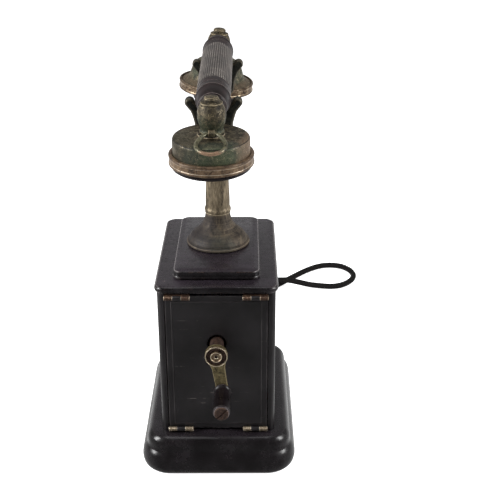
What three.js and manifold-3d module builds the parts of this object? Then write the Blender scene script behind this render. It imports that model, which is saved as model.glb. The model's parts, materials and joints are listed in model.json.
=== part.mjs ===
// A magneto desk telephone: a handset on a sprung cradle, on a column, on a case that holds a
// hand-cranked generator, a bell, a hook switch and an induction coil.
// Millimetres. +Z is up, +X is the crank side, +Y is the back. The origin is the centre of the
// base's underside. Heights are drawn from a line FOOT above the underside, and the finished
// group is raised by FOOT.

import * as THREE from 'three';
import { mergeVertices } from 'three/addons/utils/BufferGeometryUtils.js';
import Module from 'manifold-3d';

const wasm = await Module();
wasm.setup();
const degrees = THREE.MathUtils.degToRad;

// ---- driving dimensions ----

const GAP = 0.3; // left between two pieces that touch
const FOOT = 3.3;
const WOOD = { baseX: 177, baseY: 132, baseZ: 31, corner: 20 };
const LID = { x: 146.4, y: 99.6, z: 6.1, corner: 6.5 };
const RAISED = { x: 119.3, y: 70.8, z: 8.2, corner: 6 };
const CASE = { x: 141.6, y: 95.4, top: 161.5, corner: 5, sheet: 1.2, fold: 5.7 };
const LID_TOP = CASE.top + LID.z;
const BOARD_TOP = LID_TOP + RAISED.z;
const HINGE = { y: 31.4, width: 20.4, x: 73, knuckle: 1.9, pin: 0.9, above: 3.0 };
const TUBE = { foot: 203, top: 274.2, bore: 6, rod: 4, spigot: 7 };
const SPIGOT_HOLE = TUBE.spigot + 2 * GAP;
const HANDSET = { z: 321, tilt: degrees(2.9), grip: 12.95, ribbed: 49, end: 86, bulb: 97 };
const CAPSULE = { seat: -14, turn: degrees(-4.5), back: 27.9, rim: 30.9, bell: 33.4 };
const RING = { x: 10.4, z: -11.6, wire: 1.45, droop: degrees(13.5) };
const FORK = { x: 55, thick: 8, saddle: HANDSET.grip + 0.4 };
const HUB = { x: 2.2, top: -33, bottom: -45.6 }; // x brings it back over the column
const CRANK = { z: 116, radius: 32.6, shaft: 5.65, armX: 87.2, armThick: 4.5, knobEnd: 123.5 };
const CRANK_HANGS = degrees(8);
const GEAR = { teeth: 60, pinion: 15, x: 54.5, armatureZ: 70 };
const MODULE = (2 * (CRANK.z - GEAR.armatureZ)) / (GEAR.teeth + GEAR.pinion);
const RINGER = { x: -50, gongY: 22, gongZ: 106, gong: 20, coilZ: 60, pivotZ: 78 };
const CHASSIS_TOP = WOOD.baseZ + GAP + 2;
const CORD = { radius: 3.35, sleeve: 3.75, join: 180 };
const CORD_INLET = { y: -28, z: 7.5 };

// ---- materials ----

function material(color, roughness, metalness) {
  return new THREE.MeshStandardMaterial({ color, roughness, metalness });
}
const lacquer = material(0x1d1b1f, 0.3, 0);
const japanned = material(0x232224, 0.5, 0);
const agedBrass = material(0x5c5241, 0.5, 0.8);
const verdigris = material(0x55594a, 0.6, 0.6);
const brightBrass = material(0x9a8a63, 0.4, 0.9);
const darkIron = material(0x2f342e, 0.6, 0.5);
const ribbedEbonite = material(0x6b6364, 0.6, 0);
const blackEbonite = material(0x1c1a1e, 0.4, 0);
const steel = material(0x6f6e70, 0.45, 0.9);
const rustySteel = material(0x54382c, 0.8, 0.5);
const magnetSteel = material(0x3c3d42, 0.5, 0.7);
const copper = material(0x8c4a2b, 0.5, 0.7);
const bellMetal = material(0xa39c8c, 0.3, 0.9);
const fibre = material(0x3d2a20, 0.7, 0);
const braid = material(0x1b1a1b, 0.9, 0);

// ---- solids ----

// Positions only, shared vertices merged, no collapsed triangles, faces pointing out.
function tidy(geometry) {
  const loose = geometry.index ? geometry.toNonIndexed() : geometry;
  const bare = new THREE.BufferGeometry();
  bare.setAttribute('position', loose.getAttribute('position'));
  const merged = mergeVertices(bare, 1e-4);
  const at = merged.getAttribute('position');
  const old = merged.index.array;
  const kept = [];
  let volume = 0;
  const [a, b, c] = [new THREE.Vector3(), new THREE.Vector3(), new THREE.Vector3()];
  for (let i = 0; i < old.length; i += 3) {
    const [p, q, r] = [old[i], old[i + 1], old[i + 2]];
    if (p === q || q === r || r === p) continue;
    kept.push(p, q, r);
    a.fromBufferAttribute(at, p);
    b.fromBufferAttribute(at, q);
    c.fromBufferAttribute(at, r);
    volume += a.dot(b.cross(c));
  }
  if (volume < 0) kept.reverse();
  merged.setIndex(kept);
  return merged;
}

function toSolid(geometry) {
  const g = tidy(geometry);
  const vertProperties = new Float32Array(g.getAttribute('position').array);
  const triVerts = new Uint32Array(g.index.array);
  return new wasm.Manifold(new wasm.Mesh({ numProp: 3, vertProperties, triVerts }));
}

function fromSolid(solid) {
  const mesh = solid.getMesh();
  const g = new THREE.BufferGeometry();
  g.setAttribute('position', new THREE.BufferAttribute(mesh.vertProperties, 3));
  g.setIndex(new THREE.BufferAttribute(mesh.triVerts, 1));
  return g;
}

function join(...geometries) {
  return fromSolid(geometries.map(toSolid).reduce((all, next) => all.add(next)));
}

function cut(geometry, ...tools) {
  return fromSolid(tools.map(toSolid).reduce((left, tool) => left.subtract(tool), toSolid(geometry)));
}

function moved(geometry, x = 0, y = 0, z = 0) {
  return geometry.clone().translate(x, y, z);
}

function mirroredX(geometry) {
  return tidy(geometry.clone().scale(-1, 1, 1));
}

function block(x0, x1, y0, y1, z0, z1) {
  const g = new THREE.BoxGeometry(x1 - x0, y1 - y0, z1 - z0);
  return g.translate((x0 + x1) / 2, (y0 + y1) / 2, (z0 + z1) / 2);
}

// Stands a solid made along +Z up along another axis.
function along(axis, geometry) {
  if (axis === 'x') geometry.rotateY(Math.PI / 2);
  if (axis === 'y') geometry.rotateX(-Math.PI / 2);
  return geometry;
}

// A wide turned piece gets more sides than a narrow one.
function sidesFor(radius) {
  if (radius > 22) return 24;
  if (radius > 9) return 16;
  return radius > 4 ? 12 : 10;
}

// A turned solid from [radius, height] pairs.
function turned(profile, axis = 'z', segments = sidesFor(Math.max(...profile.map(([r]) => r)))) {
  const g = new THREE.LatheGeometry(profile.map(([r, h]) => new THREE.Vector2(r, h)), segments);
  return tidy(along(axis, g.rotateX(Math.PI / 2)));
}

function rod(radius, from, to, axis = 'z') {
  return turned([[0, from], [radius, from], [radius, to], [0, to]], axis);
}

function sleeve(inner, outer, from, to, axis = 'z') {
  return turned([[inner, from], [outer, from], [outer, to], [inner, to], [inner, from]], axis);
}

// A flat outline given thickness along X: the outline's x and y are the part's Y and Z.
function plateAcrossX(shape, from, to, curveSegments = 8) {
  const g = new THREE.ExtrudeGeometry(shape, {
    depth: to - from, bevelEnabled: false, curveSegments,
  });
  g.rotateX(Math.PI / 2);
  g.rotateZ(Math.PI / 2);
  return g.translate(from, 0, 0);
}

// A flat outline given thickness along Y: the outline's x and y are the part's X and Z.
function plateAcrossY(shape, from, to) {
  const g = new THREE.ExtrudeGeometry(shape, { depth: to - from, bevelEnabled: false });
  return g.rotateX(Math.PI / 2).translate(0, to, 0);
}

function outline(points) {
  return new THREE.Shape(points.map(([x, y]) => new THREE.Vector2(x, y)));
}

// A rounded rectangle at every height: levels are [inset, z] from the underside up.
function moulded(x, y, corner, levels) {
  const arcSteps = 5;
  const positions = [];
  const index = [];
  for (const [inset, z] of levels) {
    const r = Math.max(corner - inset, 1);
    for (let quarter = 0; quarter < 4; quarter++) {
      const right = quarter === 0 || quarter === 3 ? 1 : -1;
      const back = quarter < 2 ? 1 : -1;
      for (let i = 0; i <= arcSteps; i++) {
        const angle = ((quarter + i / arcSteps) * Math.PI) / 2;
        positions.push(right * (x / 2 - inset - r) + r * Math.cos(angle));
        positions.push(back * (y / 2 - inset - r) + r * Math.sin(angle), z);
      }
    }
  }
  const around = 4 * (arcSteps + 1);
  const last = (levels.length - 1) * around;
  for (let start = 0; start < last; start += around) {
    for (let i = 0; i < around; i++) {
      const next = (i + 1) % around;
      index.push(start + i, start + next, start + around + next);
      index.push(start + i, start + around + next, start + around + i);
    }
  }
  for (let i = 1; i < around - 1; i++) {
    index.push(0, i + 1, i, last, last + i, last + i + 1);
  }
  const g = new THREE.BufferGeometry();
  g.setAttribute('position', new THREE.Float32BufferAttribute(positions, 3));
  g.setIndex(index);
  return tidy(g);
}

// A round bar along a curve, with 2 * halfSides sides.
function wire(curve, radius, steps, halfSides) {
  const section = new THREE.Shape();
  section.absarc(0, 0, radius, 0, 2 * Math.PI);
  const options = { steps, extrudePath: curve, bevelEnabled: false, curveSegments: halfSides };
  return tidy(new THREE.ExtrudeGeometry(section, options));
}

function through(points) {
  return new THREE.CatmullRomCurve3(points.map((p) => new THREE.Vector3(...p)), false, 'centripetal');
}

// ---- the scene graph ----

const telephone = new THREE.Group();
const crank = new THREE.Group();
crank.position.z = CRANK.z;
const handset = new THREE.Group();
handset.position.z = HANDSET.z;
handset.rotation.y = HANDSET.tilt;
const receiver = new THREE.Group();
receiver.position.set(HANDSET.bulb, -0.7, CAPSULE.seat);
const transmitter = new THREE.Group();
transmitter.position.x = -HANDSET.bulb;
transmitter.rotation.x = CAPSULE.turn;
handset.add(receiver, transmitter);
telephone.add(crank, handset);

function piece(name, geometry, finish, parent = telephone) {
  const mesh = new THREE.Mesh(geometry, finish);
  mesh.name = name;
  parent.add(mesh);
}

// ---- base, case and lid ----

function addBase() {
  const levels = [
    [3.6, -FOOT], [1.2, 2 - FOOT], [0, 7 - FOOT], [0.4, 9], [1.7, 13.8], [4.4, 17.4], [4.7, 23],
    [5.8, 26.6], [8, 29.4], [12, WOOD.baseZ],
  ];
  const body = moulded(WOOD.baseX, WOOD.baseY, WOOD.corner, levels);
  const end = -WOOD.baseX / 2;
  const { y, z } = CORD_INLET;
  const flangeSeat = moved(rod(6.7, end - 2, end + 2.8, 'x'), 0, y, z);
  const tunnel = moved(rod(5.3, end - 2, end + 34, 'x'), 0, y, z);
  const riser = moved(rod(5.3, z, WOOD.baseZ + 1), end + 32, y, 0);
  piece('base', cut(body, flangeSeat, tunnel, riser), lacquer);

  const bush = [
    [CORD.sleeve, end + 0.2], [5.2, end + 0.2], [6.2, end + 1.0], [6.2, end + 2.4], [5.0, end + 2.4],
    [5.0, end + 13], [CORD.sleeve, end + 13], [CORD.sleeve, end + 0.2],
  ];
  piece('base_cord_bush', moved(turned(bush, 'x'), 0, y, z), blackEbonite);

  const plate = block(-57, 57, -44, 44, WOOD.baseZ + GAP, CHASSIS_TOP);
  piece('chassis_plate', cut(plate, moved(rod(6, 28, 40), end + 32, y, 0)), steel);
}

function addCaseShells() {
  const { x, y, corner, sheet, fold, top } = CASE;
  const section = new THREE.Shape();
  const [hx, hy, inner] = [x / 2, y / 2, corner - sheet];
  section.moveTo(-hx, hy - fold);
  section.lineTo(-hx, hy - corner);
  section.absarc(-hx + corner, hy - corner, corner, Math.PI, Math.PI / 2, true);
  section.absarc(hx - corner, hy - corner, corner, Math.PI / 2, 0, true);
  section.lineTo(hx, hy - fold);
  section.lineTo(hx - sheet, hy - fold);
  section.absarc(hx - corner, hy - corner, inner, 0, Math.PI / 2, false);
  section.absarc(-hx + corner, hy - corner, inner, Math.PI / 2, Math.PI, false);
  section.lineTo(-hx + sheet, hy - fold);
  const height = top - WOOD.baseZ - 2 * GAP;
  const options = { depth: height, bevelEnabled: false, curveSegments: 6 };
  const shell = new THREE.ExtrudeGeometry(section, options);
  shell.translate(0, 0, WOOD.baseZ + GAP);
  piece('case_back', tidy(shell), japanned);
  piece('case_front', tidy(shell.clone().rotateZ(Math.PI)), japanned);
}

// The middle knuckle is rolled from the panel's own edge, the outer two are the brass leaf's.
function hingeCentres() {
  const low = WOOD.baseZ + HINGE.above;
  const high = CASE.top - HINGE.above;
  return [
    { name: 'bottom_front', y: -HINGE.y, z: low, leaf: -1 },
    { name: 'bottom_back', y: HINGE.y, z: low, leaf: -1 },
    { name: 'top_front', y: -HINGE.y, z: high, leaf: 1 },
    { name: 'top_back', y: HINGE.y, z: high, leaf: 1 },
  ];
}

function addSidePanels() {
  const hy = CASE.y / 2 - CASE.fold - GAP;
  const [low, high] = [WOOD.baseZ + 2, CASE.top - 2];
  const face = CASE.x / 2;
  const field = { y: hy - 5.5, low: low + 11, high: high - 11, rise: 0.5 };
  const sheet = block(face - CASE.sheet, face, -hy, hy, low, high);
  const pressed = block(face - 0.4, face + field.rise, -field.y, field.y, field.low, field.high);
  const far = join(sheet, pressed);
  piece('far_side_panel', mirroredX(far), japanned);

  const third = HINGE.width / 6;
  const pinHole = HINGE.pin + GAP;
  let near = cut(far, moved(rod(8, face - 3, face + 3, 'x'), 0, 0, CRANK.z));
  for (const { y, z } of hingeCentres()) {
    const half = third - GAP;
    const web = block(face - 0.4, HINGE.x, y - half, y + half, z - 0.8, z + 0.8);
    near = join(near, web, moved(rod(HINGE.knuckle, -half, half, 'y'), HINGE.x, y, z));
    near = cut(near, moved(rod(pinHole, -third, third, 'y'), HINGE.x, y, z));
  }
  piece('crank_side_panel', near, japanned);
}

function addHinges() {
  const half = HINGE.width / 2;
  const third = HINGE.width / 6;
  for (const { name, y, z, leaf } of hingeCentres()) {
    const seat = z + leaf * (HINGE.above - GAP - 0.5);
    const tab = block(58, HINGE.x, -half, half, seat - 0.4, seat + 0.4);
    const knuckles = [-half, third].map((from) => {
      const knuckle = sleeve(HINGE.pin + GAP, HINGE.knuckle, from, from + half - third, 'y');
      return moved(knuckle, HINGE.x, 0, z);
    });
    const relief = block(CASE.x / 2 - 2, HINGE.x + 2, -third, third, seat - 1, seat + 1);
    piece(`hinge_leaf_${name}`, moved(join(cut(tab, relief), ...knuckles), 0, y, 0), brightBrass);
    piece(`hinge_pin_${name}`, moved(rod(HINGE.pin, -half, half, 'y'), HINGE.x, y, z), rustySteel);
  }
}

function addLid() {
  const hole = rod(SPIGOT_HOLE, CASE.top - 5, BOARD_TOP + 5);
  const lidLevels = [
    [1.6, CASE.top], [0.4, CASE.top + 1.2], [0, CASE.top + 2.6], [0.3, CASE.top + 4.4],
    [1.4, CASE.top + 5.6], [2.8, LID_TOP],
  ];
  piece('top_board', cut(moulded(LID.x, LID.y, LID.corner, lidLevels), hole), lacquer);
  const raisedLevels = [
    [0, LID_TOP + GAP], [0, LID_TOP + 4.8], [0.5, LID_TOP + 6.6], [1.6, LID_TOP + 7.7],
    [3.2, BOARD_TOP],
  ];
  piece('raised_board', cut(moulded(RAISED.x, RAISED.y, RAISED.corner, raisedLevels), hole), lacquer);
}

// ---- column, cradle and hook switch ----

function addColumn() {
  const z = BOARD_TOP + GAP;
  const foot = [
    [SPIGOT_HOLE, z], [26.4, z], [26.8, z + 0.8], [26.5, z + 2], [25.2, z + 3.4], [24.6, z + 4.4],
    [22.4, z + 8.2], [18.0, z + 12], [14.6, z + 15.4], [12.3, z + 19], [10.9, z + 23],
    [10.4, TUBE.foot], [SPIGOT_HOLE, TUBE.foot], [SPIGOT_HOLE, z],
  ];
  piece('column_foot', turned(foot, 'z'), agedBrass);

  const seat = TUBE.foot + 6;
  const tube = [
    [TUBE.rod + GAP, 150], [TUBE.spigot, 150], [TUBE.spigot, TUBE.foot + GAP],
    [10.6, TUBE.foot + GAP], [11.1, TUBE.foot + 2], [11.1, TUBE.foot + 4], [10.5, TUBE.foot + 5.2],
    [10.2, TUBE.foot + 14], [9.5, TUBE.foot + 29], [9.4, TUBE.top - 6], [10.6, TUBE.top - 4.5],
    [10.6, TUBE.top], [TUBE.bore, TUBE.top], [TUBE.bore, seat], [TUBE.rod + GAP, seat],
    [TUBE.rod + GAP, 150],
  ];
  piece('column_tube', turned(tube, 'z'), agedBrass);

  const hexagon = turned([[0, 152], [12, 152], [12, CASE.top - GAP], [0, CASE.top - GAP]], 'z', 6);
  piece('column_nut', cut(hexagon, rod(SPIGOT_HOLE, 140, 170)), steel);
}

function addPlunger() {
  const { rod: r, top } = TUBE;
  const collar = top - 9;
  const profile = [
    [0, 135.9], [1.6, 135.9], [r, 139], [r, collar], [5.6, collar], [5.6, collar + 2],
    [r, collar + 2], [r, 282], [0, 282],
  ];
  piece('plunger_rod', turned(profile, 'z'), steel);

  const [from, to] = [TUBE.foot + 6.8, collar - 0.8];
  const turns = 8;
  const perTurn = 8;
  const points = [];
  for (let i = 0; i <= turns * perTurn; i++) {
    const angle = (i / perTurn) * 2 * Math.PI;
    const z = from + ((to - from) * i) / (turns * perTurn);
    points.push([5 * Math.cos(angle), 5 * Math.sin(angle), z]);
  }
  piece('plunger_spring', wire(through(points), 0.45, turns * perTurn, 3), steel);
}

// The cradle leans with the handset, so it is made in the handset's frame.
function addCradle() {
  const reach = FORK.x - FORK.thick / 2 - GAP;
  const wing = new THREE.Shape();
  wing.moveTo(-reach, -22);
  wing.quadraticCurveTo(-26, -30, -11, HUB.top);
  wing.lineTo(11, HUB.top);
  wing.quadraticCurveTo(26, -30, reach, -22);
  wing.lineTo(reach, -31);
  wing.quadraticCurveTo(26, -40, 11, HUB.bottom + 3);
  wing.lineTo(-11, HUB.bottom + 3);
  wing.quadraticCurveTo(-26, -40, -reach, -31);
  const boss = [
    [0, HUB.bottom], [12, HUB.bottom], [13.6, HUB.bottom + 2], [13.6, HUB.top - 2.5],
    [12, HUB.top + 0.6], [5.5, HUB.top + 2.4], [0, HUB.top + 3],
  ];
  const bore = moved(rod(TUBE.rod + 0.9, HUB.bottom - 1, HUB.bottom + 8.4), HUB.x, 0, 0);
  const hub = join(plateAcrossY(wing, -6, 6), moved(turned(boss), HUB.x, 0, 0));
  piece('cradle_hub', cut(hub, bore), darkIron, handset);
  for (const [name, side, tipZ] of [['cradle_fork_near', 1, -5.2], ['cradle_fork_far', -1, -7.4]]) {
    const middle = side * FORK.x;
    const fork = plateAcrossX(forkShape(tipZ), middle - FORK.thick / 2, middle + FORK.thick / 2, 6);
    piece(name, tidy(fork), darkIron, handset);
  }
}

// Two prongs on a saddle that the grip lies in.
function forkShape(tipZ) {
  const tip = { y: 17.8, r: 3.7 };
  const lean = degrees(-30);
  const lip = degrees(-30);
  const shape = new THREE.Shape();
  shape.moveTo(9, -35);
  shape.quadraticCurveTo(13.6, -33, 13.8, -27);
  shape.quadraticCurveTo(14, -19, 18, tipZ - 6);
  shape.absarc(tip.y, tipZ, tip.r, lean, Math.PI, false);
  shape.absarc(0, 0, FORK.saddle, lip, Math.PI - lip, true);
  shape.absarc(-tip.y, tipZ, tip.r, 0, Math.PI - lean, false);
  shape.lineTo(-18, tipZ - 6);
  shape.quadraticCurveTo(-14, -19, -13.8, -27);
  shape.quadraticCurveTo(-13.6, -33, -9, -35);
  return shape;
}

function addSwitch() {
  piece('switch_block', block(-50, -36, -8, 8, 131, CASE.top - GAP), fibre);
  piece('switch_blade', block(-36 + GAP, 6, -3.5, 3.5, 134.85, 135.55), brightBrass);
}

// ---- magneto ----

function addMagneto() {
  const floor = CHASSIS_TOP + GAP;
  const legs = new THREE.Shape();
  const [inner, outer, crown, foot] = [24, 30, 100, 46];
  legs.moveTo(outer, foot);
  legs.lineTo(outer, crown);
  legs.absarc(0, crown, outer, 0, Math.PI, false);
  legs.lineTo(-outer, foot);
  legs.lineTo(-inner, foot);
  legs.absarc(0, crown, inner, Math.PI, 0, true);
  legs.lineTo(inner, foot);
  const pitch = 21;
  for (let i = 0; i < 3; i++) {
    const x = -25.5 + i * pitch;
    piece(`magnet_${i + 1}`, tidy(plateAcrossX(legs, x, x + pitch - 2)), magnetSteel);
  }

  const endPlate = outline([
    [-28, floor], [28, floor], [28, 44], [20, 96], [14, 126], [-14, 126], [-20, 96], [-28, 44],
  ]);
  const plates = [plateAcrossX(endPlate, -34, -30), plateAcrossX(endPlate, 40, 44)];
  const shoes = [block(-31, 41, -23.7, -12, 54, 86), block(-31, 41, 12, 23.7, 54, 86)];
  const frame = join(block(-34, 44, -28, 28, floor, 42), ...plates, ...shoes);
  const tunnel = moved(rod(17, -30, 40, 'x'), 0, 0, GEAR.armatureZ);
  const armatureHole = moved(rod(3 + GAP, -40, 50, 'x'), 0, 0, GEAR.armatureZ);
  const shaftHole = moved(rod(4 + GAP, -40, 50, 'x'), 0, 0, CRANK.z);
  piece('magneto_frame', cut(frame, tunnel, armatureHole, shaftHole), steel);

  const slots = [block(-22, 32, -9, 9, -17, -6), block(-22, 32, -9, 9, 6, 17)];
  const drum = cut(rod(16, -28, 38, 'x'), ...slots);
  const winding = block(-21, 31, -8, 8, -12, 12);
  const wound = join(drum, rod(3, -33.6, 62, 'x'), winding);
  piece('armature', moved(wound, 0, 0, GEAR.armatureZ), steel);
}

// Spur gear with its axis along X: one tooth points along the outline's -y, or one gap along +y.
function gear(teeth, bore, from, to) {
  const pitch = (MODULE * teeth) / 2;
  const first = teeth === GEAR.teeth ? -Math.PI / 2 : Math.PI / 2 + Math.PI / teeth;
  const corners = [[-1.35, -1.5], [-0.42, 1.0], [0.42, 1.0], [1.35, -1.5]];
  const points = [];
  for (let i = 0; i < teeth; i++) {
    const middle = first + (i * 2 * Math.PI) / teeth;
    for (const [across, out] of corners) {
      const r = pitch + out;
      const angle = middle + across / pitch;
      points.push([r * Math.cos(angle), r * Math.sin(angle)]);
    }
  }
  return cut(plateAcrossX(outline(points), from, to), rod(bore, from - 1, to + 1, 'x'));
}

function addGears() {
  const [from, to] = [GEAR.x - 2.5, GEAR.x + 2.5];
  const wheel = gear(GEAR.teeth, CRANK.shaft + GAP, from, to);
  const windows = [0, 1, 2, 3, 4].map((i) => {
    const angle = (i * 2 * Math.PI) / 5;
    return moved(rod(7, from - 1, to + 1, 'x'), 0, 22 * Math.cos(angle), 22 * Math.sin(angle));
  });
  piece('gear_wheel', cut(wheel, ...windows), agedBrass, crank);
  piece('pinion', moved(gear(GEAR.pinion, 3.3, from - 1, to + 1), 0, 0, GEAR.armatureZ), brightBrass);
}

// ---- crank ----

function addCrank() {
  const shaft = [
    [0, -37], [4, -37], [4, 44.6], [8.5, 44.6], [8.5, 48.6], [CRANK.shaft, 48.6],
    [CRANK.shaft, CRANK.armX - GAP], [3.5, CRANK.armX - GAP], [3.5, 91.6], [0, 91.6],
  ];
  piece('crank_shaft', turned(shaft, 'x'), rustySteel, crank);

  const turnedArm = new THREE.Group();
  turnedArm.rotation.x = CRANK_HANGS;
  crank.add(turnedArm);
  const front = CRANK.armX + CRANK.armThick;
  const arm = new THREE.Shape();
  arm.absarc(0, 0, 9, degrees(-42), degrees(222), false);
  arm.lineTo(-5.2, -12);
  arm.lineTo(-3.9, -CRANK.radius + 3);
  arm.absarc(0, -CRANK.radius, 4.9, degrees(143), degrees(397), false);
  arm.lineTo(5.2, -12);
  const rim = sleeve(7.6, 9, front - 1, front + 1.1, 'x');
  const blank = join(plateAcrossX(arm, CRANK.armX, front, 10), rim);
  const shaftHole = rod(3.8, CRANK.armX - 1, front + 2, 'x');
  const screwHole = moved(rod(2.3, CRANK.armX - 1, front + 2, 'x'), 0, 0, -CRANK.radius);
  piece('crank_arm', cut(blank, shaftHole, screwHole), agedBrass, turnedArm);

  const nut = [
    [1.1, front + GAP], [5.1, front + GAP], [5.1, front + 1.6], [4.4, front + 2.1],
    [3.2, front + 2.1], [2.6, front + 1.6], [1.1, front + 1.6], [1.1, front + GAP],
  ];
  piece('crank_nut', turned(nut, 'x'), agedBrass, turnedArm);

  const start = front + GAP;
  const end = CRANK.knobEnd;
  const knob = [
    [2.3, start], [6.9, start], [7.1, start + 1.4], [5.7, start + 3], [5.6, start + 5],
    [6.2, start + 9], [6.5, start + 16], [6.7, end - 3], [6.6, end - 1], [5.9, end],
    [2.3, end], [2.3, start],
  ];
  piece('crank_knob', moved(turned(knob, 'x'), 0, 0, -CRANK.radius), blackEbonite, turnedArm);
  const screw = [
    [0, CRANK.armX + 0.4], [2, CRANK.armX + 0.4], [2, end + GAP], [5.6, end + GAP],
    [5.6, end + 1.2], [4.4, end + 1.8], [0, end + 1.9],
  ];
  const slot = block(end + 1, end + 3, -0.7, 0.7, -7, 7).rotateX(degrees(-38));
  const head = cut(turned(screw, 'x'), slot);
  piece('knob_screw', moved(head, 0, 0, -CRANK.radius), rustySteel, turnedArm);
}

// ---- ringer, induction coil and terminals ----

function addRinger() {
  const { x, gongY, gongZ, gong, coilZ, pivotZ } = RINGER;
  const wall = [x + 10, x + 12];
  const posts = [-1, 1].map((s) => moved(rod(2, x - 14, x + 11, 'x'), 0, s * gongY, gongZ));
  const cores = [-1, 1].map((s) => moved(rod(3.2, x - 12, x + 11, 'x'), 0, s * 14, coilZ));
  const floor = CHASSIS_TOP + GAP;
  const plate = block(...wall, -42, 42, floor, 122);
  const flange = block(x - 12, x + 12, -20, 20, floor, floor + 2);
  const pivot = moved(rod(1.2, x - 13, x + 11, 'x'), 0, 0, pivotZ);
  piece('ringer_frame', join(plate, flange, pivot, ...posts, ...cores), steel);

  const bobbin = [
    [3.5, x - 11.5], [10.5, x - 11.5], [10.5, x - 10], [9.4, x - 10], [9.4, x + 8], [10.5, x + 8],
    [10.5, x + 9.6], [3.5, x + 9.6], [3.5, x - 11.5],
  ];
  const cup = [
    [2.3, x - 12], [8, x - 11.6], [15, x - 9], [19, x - 4], [gong, x + 3], [gong, x + 5],
    [18.4, x + 5], [17.6, x - 3], [13.8, x - 7.4], [7.4, x - 9.8], [2.3, x - 10.2], [2.3, x - 12],
  ];
  for (const [name, s] of [['front', -1], ['back', 1]]) {
    piece(`ringer_coil_${name}`, moved(turned(bobbin, 'x'), 0, 14 * s, coilZ), copper);
    piece(`gong_${name}`, moved(turned(cup, 'x'), 0, gongY * s, gongZ), bellMetal);
  }

  const hub = sleeve(1.5, 3, -3, 3, 'x');
  const bar = cut(block(-3, 3, -18, 18, -2, 2), rod(1.5, -5, 5, 'x'));
  const stem = rod(0.9, 2.6, 12, 'z');
  const ball = moved(new THREE.SphereGeometry(3.5, 10, 6), 0, 0, 14);
  piece('bell_clapper', moved(join(hub, bar, stem, ball), x + 1, 0, pivotZ), brightBrass);
}

function addElectrics() {
  const coil = [
    [0, -30], [6.6, -30], [6.6, -28], [5.4, -28], [5.4, 28], [6.6, 28], [6.6, 30], [0, 30],
  ];
  piece('induction_coil', moved(turned(coil, 'x'), 4, 37.6, 41), copper);
  const screws = [-24, -8, 8, 24].map((x) => moved(rod(2.6, 47.5, 50, 'z'), x, -38, 0));
  const strip = block(-32, 32, -44, -32, CHASSIS_TOP + GAP, 48);
  piece('terminal_block', join(strip, ...screws), fibre);
}

// ---- handset ----

function addGrip() {
  const ribs = 26;
  const points = [];
  for (let i = 0; i < 2 * ribs; i++) {
    const angle = (i * Math.PI) / ribs;
    const r = i % 2 ? HANDSET.grip - 0.6 : HANDSET.grip;
    points.push([r * Math.cos(angle), r * Math.sin(angle)]);
  }
  const { ribbed, end } = HANDSET;
  const collar = [
    [0, ribbed - 2], [12.3, ribbed - 2], [12.6, ribbed + 1], [12.7, ribbed + 16], [13.2, ribbed + 16.8],
    [13.2, ribbed + 18.2], [12.4, ribbed + 19], [11.5, ribbed + 27], [10.1, ribbed + 32],
    [10.4, ribbed + 32.8], [10.4, ribbed + 34], [9.4, ribbed + 35], [8.5, end], [0, end],
  ];
  const near = turned(collar, 'x');
  const body = join(plateAcrossX(outline(points), -ribbed, ribbed), near, mirroredX(near));
  piece('grip', body, ribbedEbonite, handset);
}

// A vase-shaped brass fitting with a cap nut on top, turned about the capsule's axis.
function endFitting() {
  const vase = [
    [0, CAPSULE.seat + GAP], [8.6, CAPSULE.seat + GAP], [8.8, -12.4], [8.1, -11], [8.6, -9.2],
    [9.8, -5.4], [10.3, -1.2], [9.9, 2.6], [8.7, 5.8], [7.9, 7.2], [7.9, 8], [6.6, 8.6], [5.3, 8.9],
    [5.3, 11.2], [4.6, 12.3], [0, 12.6],
  ];
  const socket = rod(8.5, HANDSET.end + GAP - HANDSET.bulb, 0, 'x');
  return join(turned(vase, 'z'), socket);
}

function addEndFittings() {
  const { x, z } = RING;
  const eye = moved(rod(RING.wire + 0.45, -4, 4, 'y'), x, 0, z);
  const lug = cut(block(x - 4, x + 2.6, -2.2, 2.2, z - 2.1, z + 2.6), eye);
  piece('end_fitting_near', moved(join(endFitting(), lug), HANDSET.bulb, 0, 0), verdigris, handset);
  const glandSeat = rod(5.8, 8.2, 14, 'x');
  const cordHole = rod(CORD.sleeve + 0.4, 2, 14, 'x');
  const far = mirroredX(cut(endFitting(), glandSeat, cordHole));
  piece('end_fitting_far', far, verdigris, transmitter);

  const start = 8.2 + GAP;
  const gland = [
    [CORD.sleeve, start], [5.4, start], [5.4, start + 4], [4.9, start + 5], [4.7, start + 14],
    [4.3, start + 18], [CORD.sleeve, start + 18], [CORD.sleeve, start],
  ];
  piece('cord_gland', mirroredX(turned(gland, 'x')), blackEbonite, transmitter);
}

// Heights in both capsules are counted down from the seat under the end fitting.
function addReceiver() {
  const { back, rim } = CAPSULE;
  const cup = [
    [0, 0], [9.4, 0], [9.7, -1.3], [12, -1.8], [back - 2, -2.5], [back - 0.4, -3.2], [back, -4.6],
    [back, -21.3], [back - 1.5, -21.3], [back - 1.5, -4.8], [0, -4.1],
  ];
  piece('receiver_case', turned(cup, 'z'), verdigris, receiver);
  const bore = back + GAP;
  const ring = [
    [bore, -14.5], [rim - 0.7, -14.5], [rim, -15.3], [rim - 0.3, -16.3], [rim - 0.3, -20.9],
    [rim, -21.9], [rim - 0.7, -22.7], [bore, -22.7], [bore, -14.5],
  ];
  piece('receiver_ring', turned(ring, 'z'), agedBrass, receiver);
  const cap = [
    [5, -21.7], [back - 2, -21.7], [back - 2, -23], [rim - 1.6, -23], [rim - 2, -24.9], [rim - 5, -26.9],
    [rim - 9, -27.3], [14, -25.7], [5, -23.9], [5, -21.7],
  ];
  piece('ear_cap', turned(cap, 'z'), blackEbonite, receiver);
}

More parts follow.
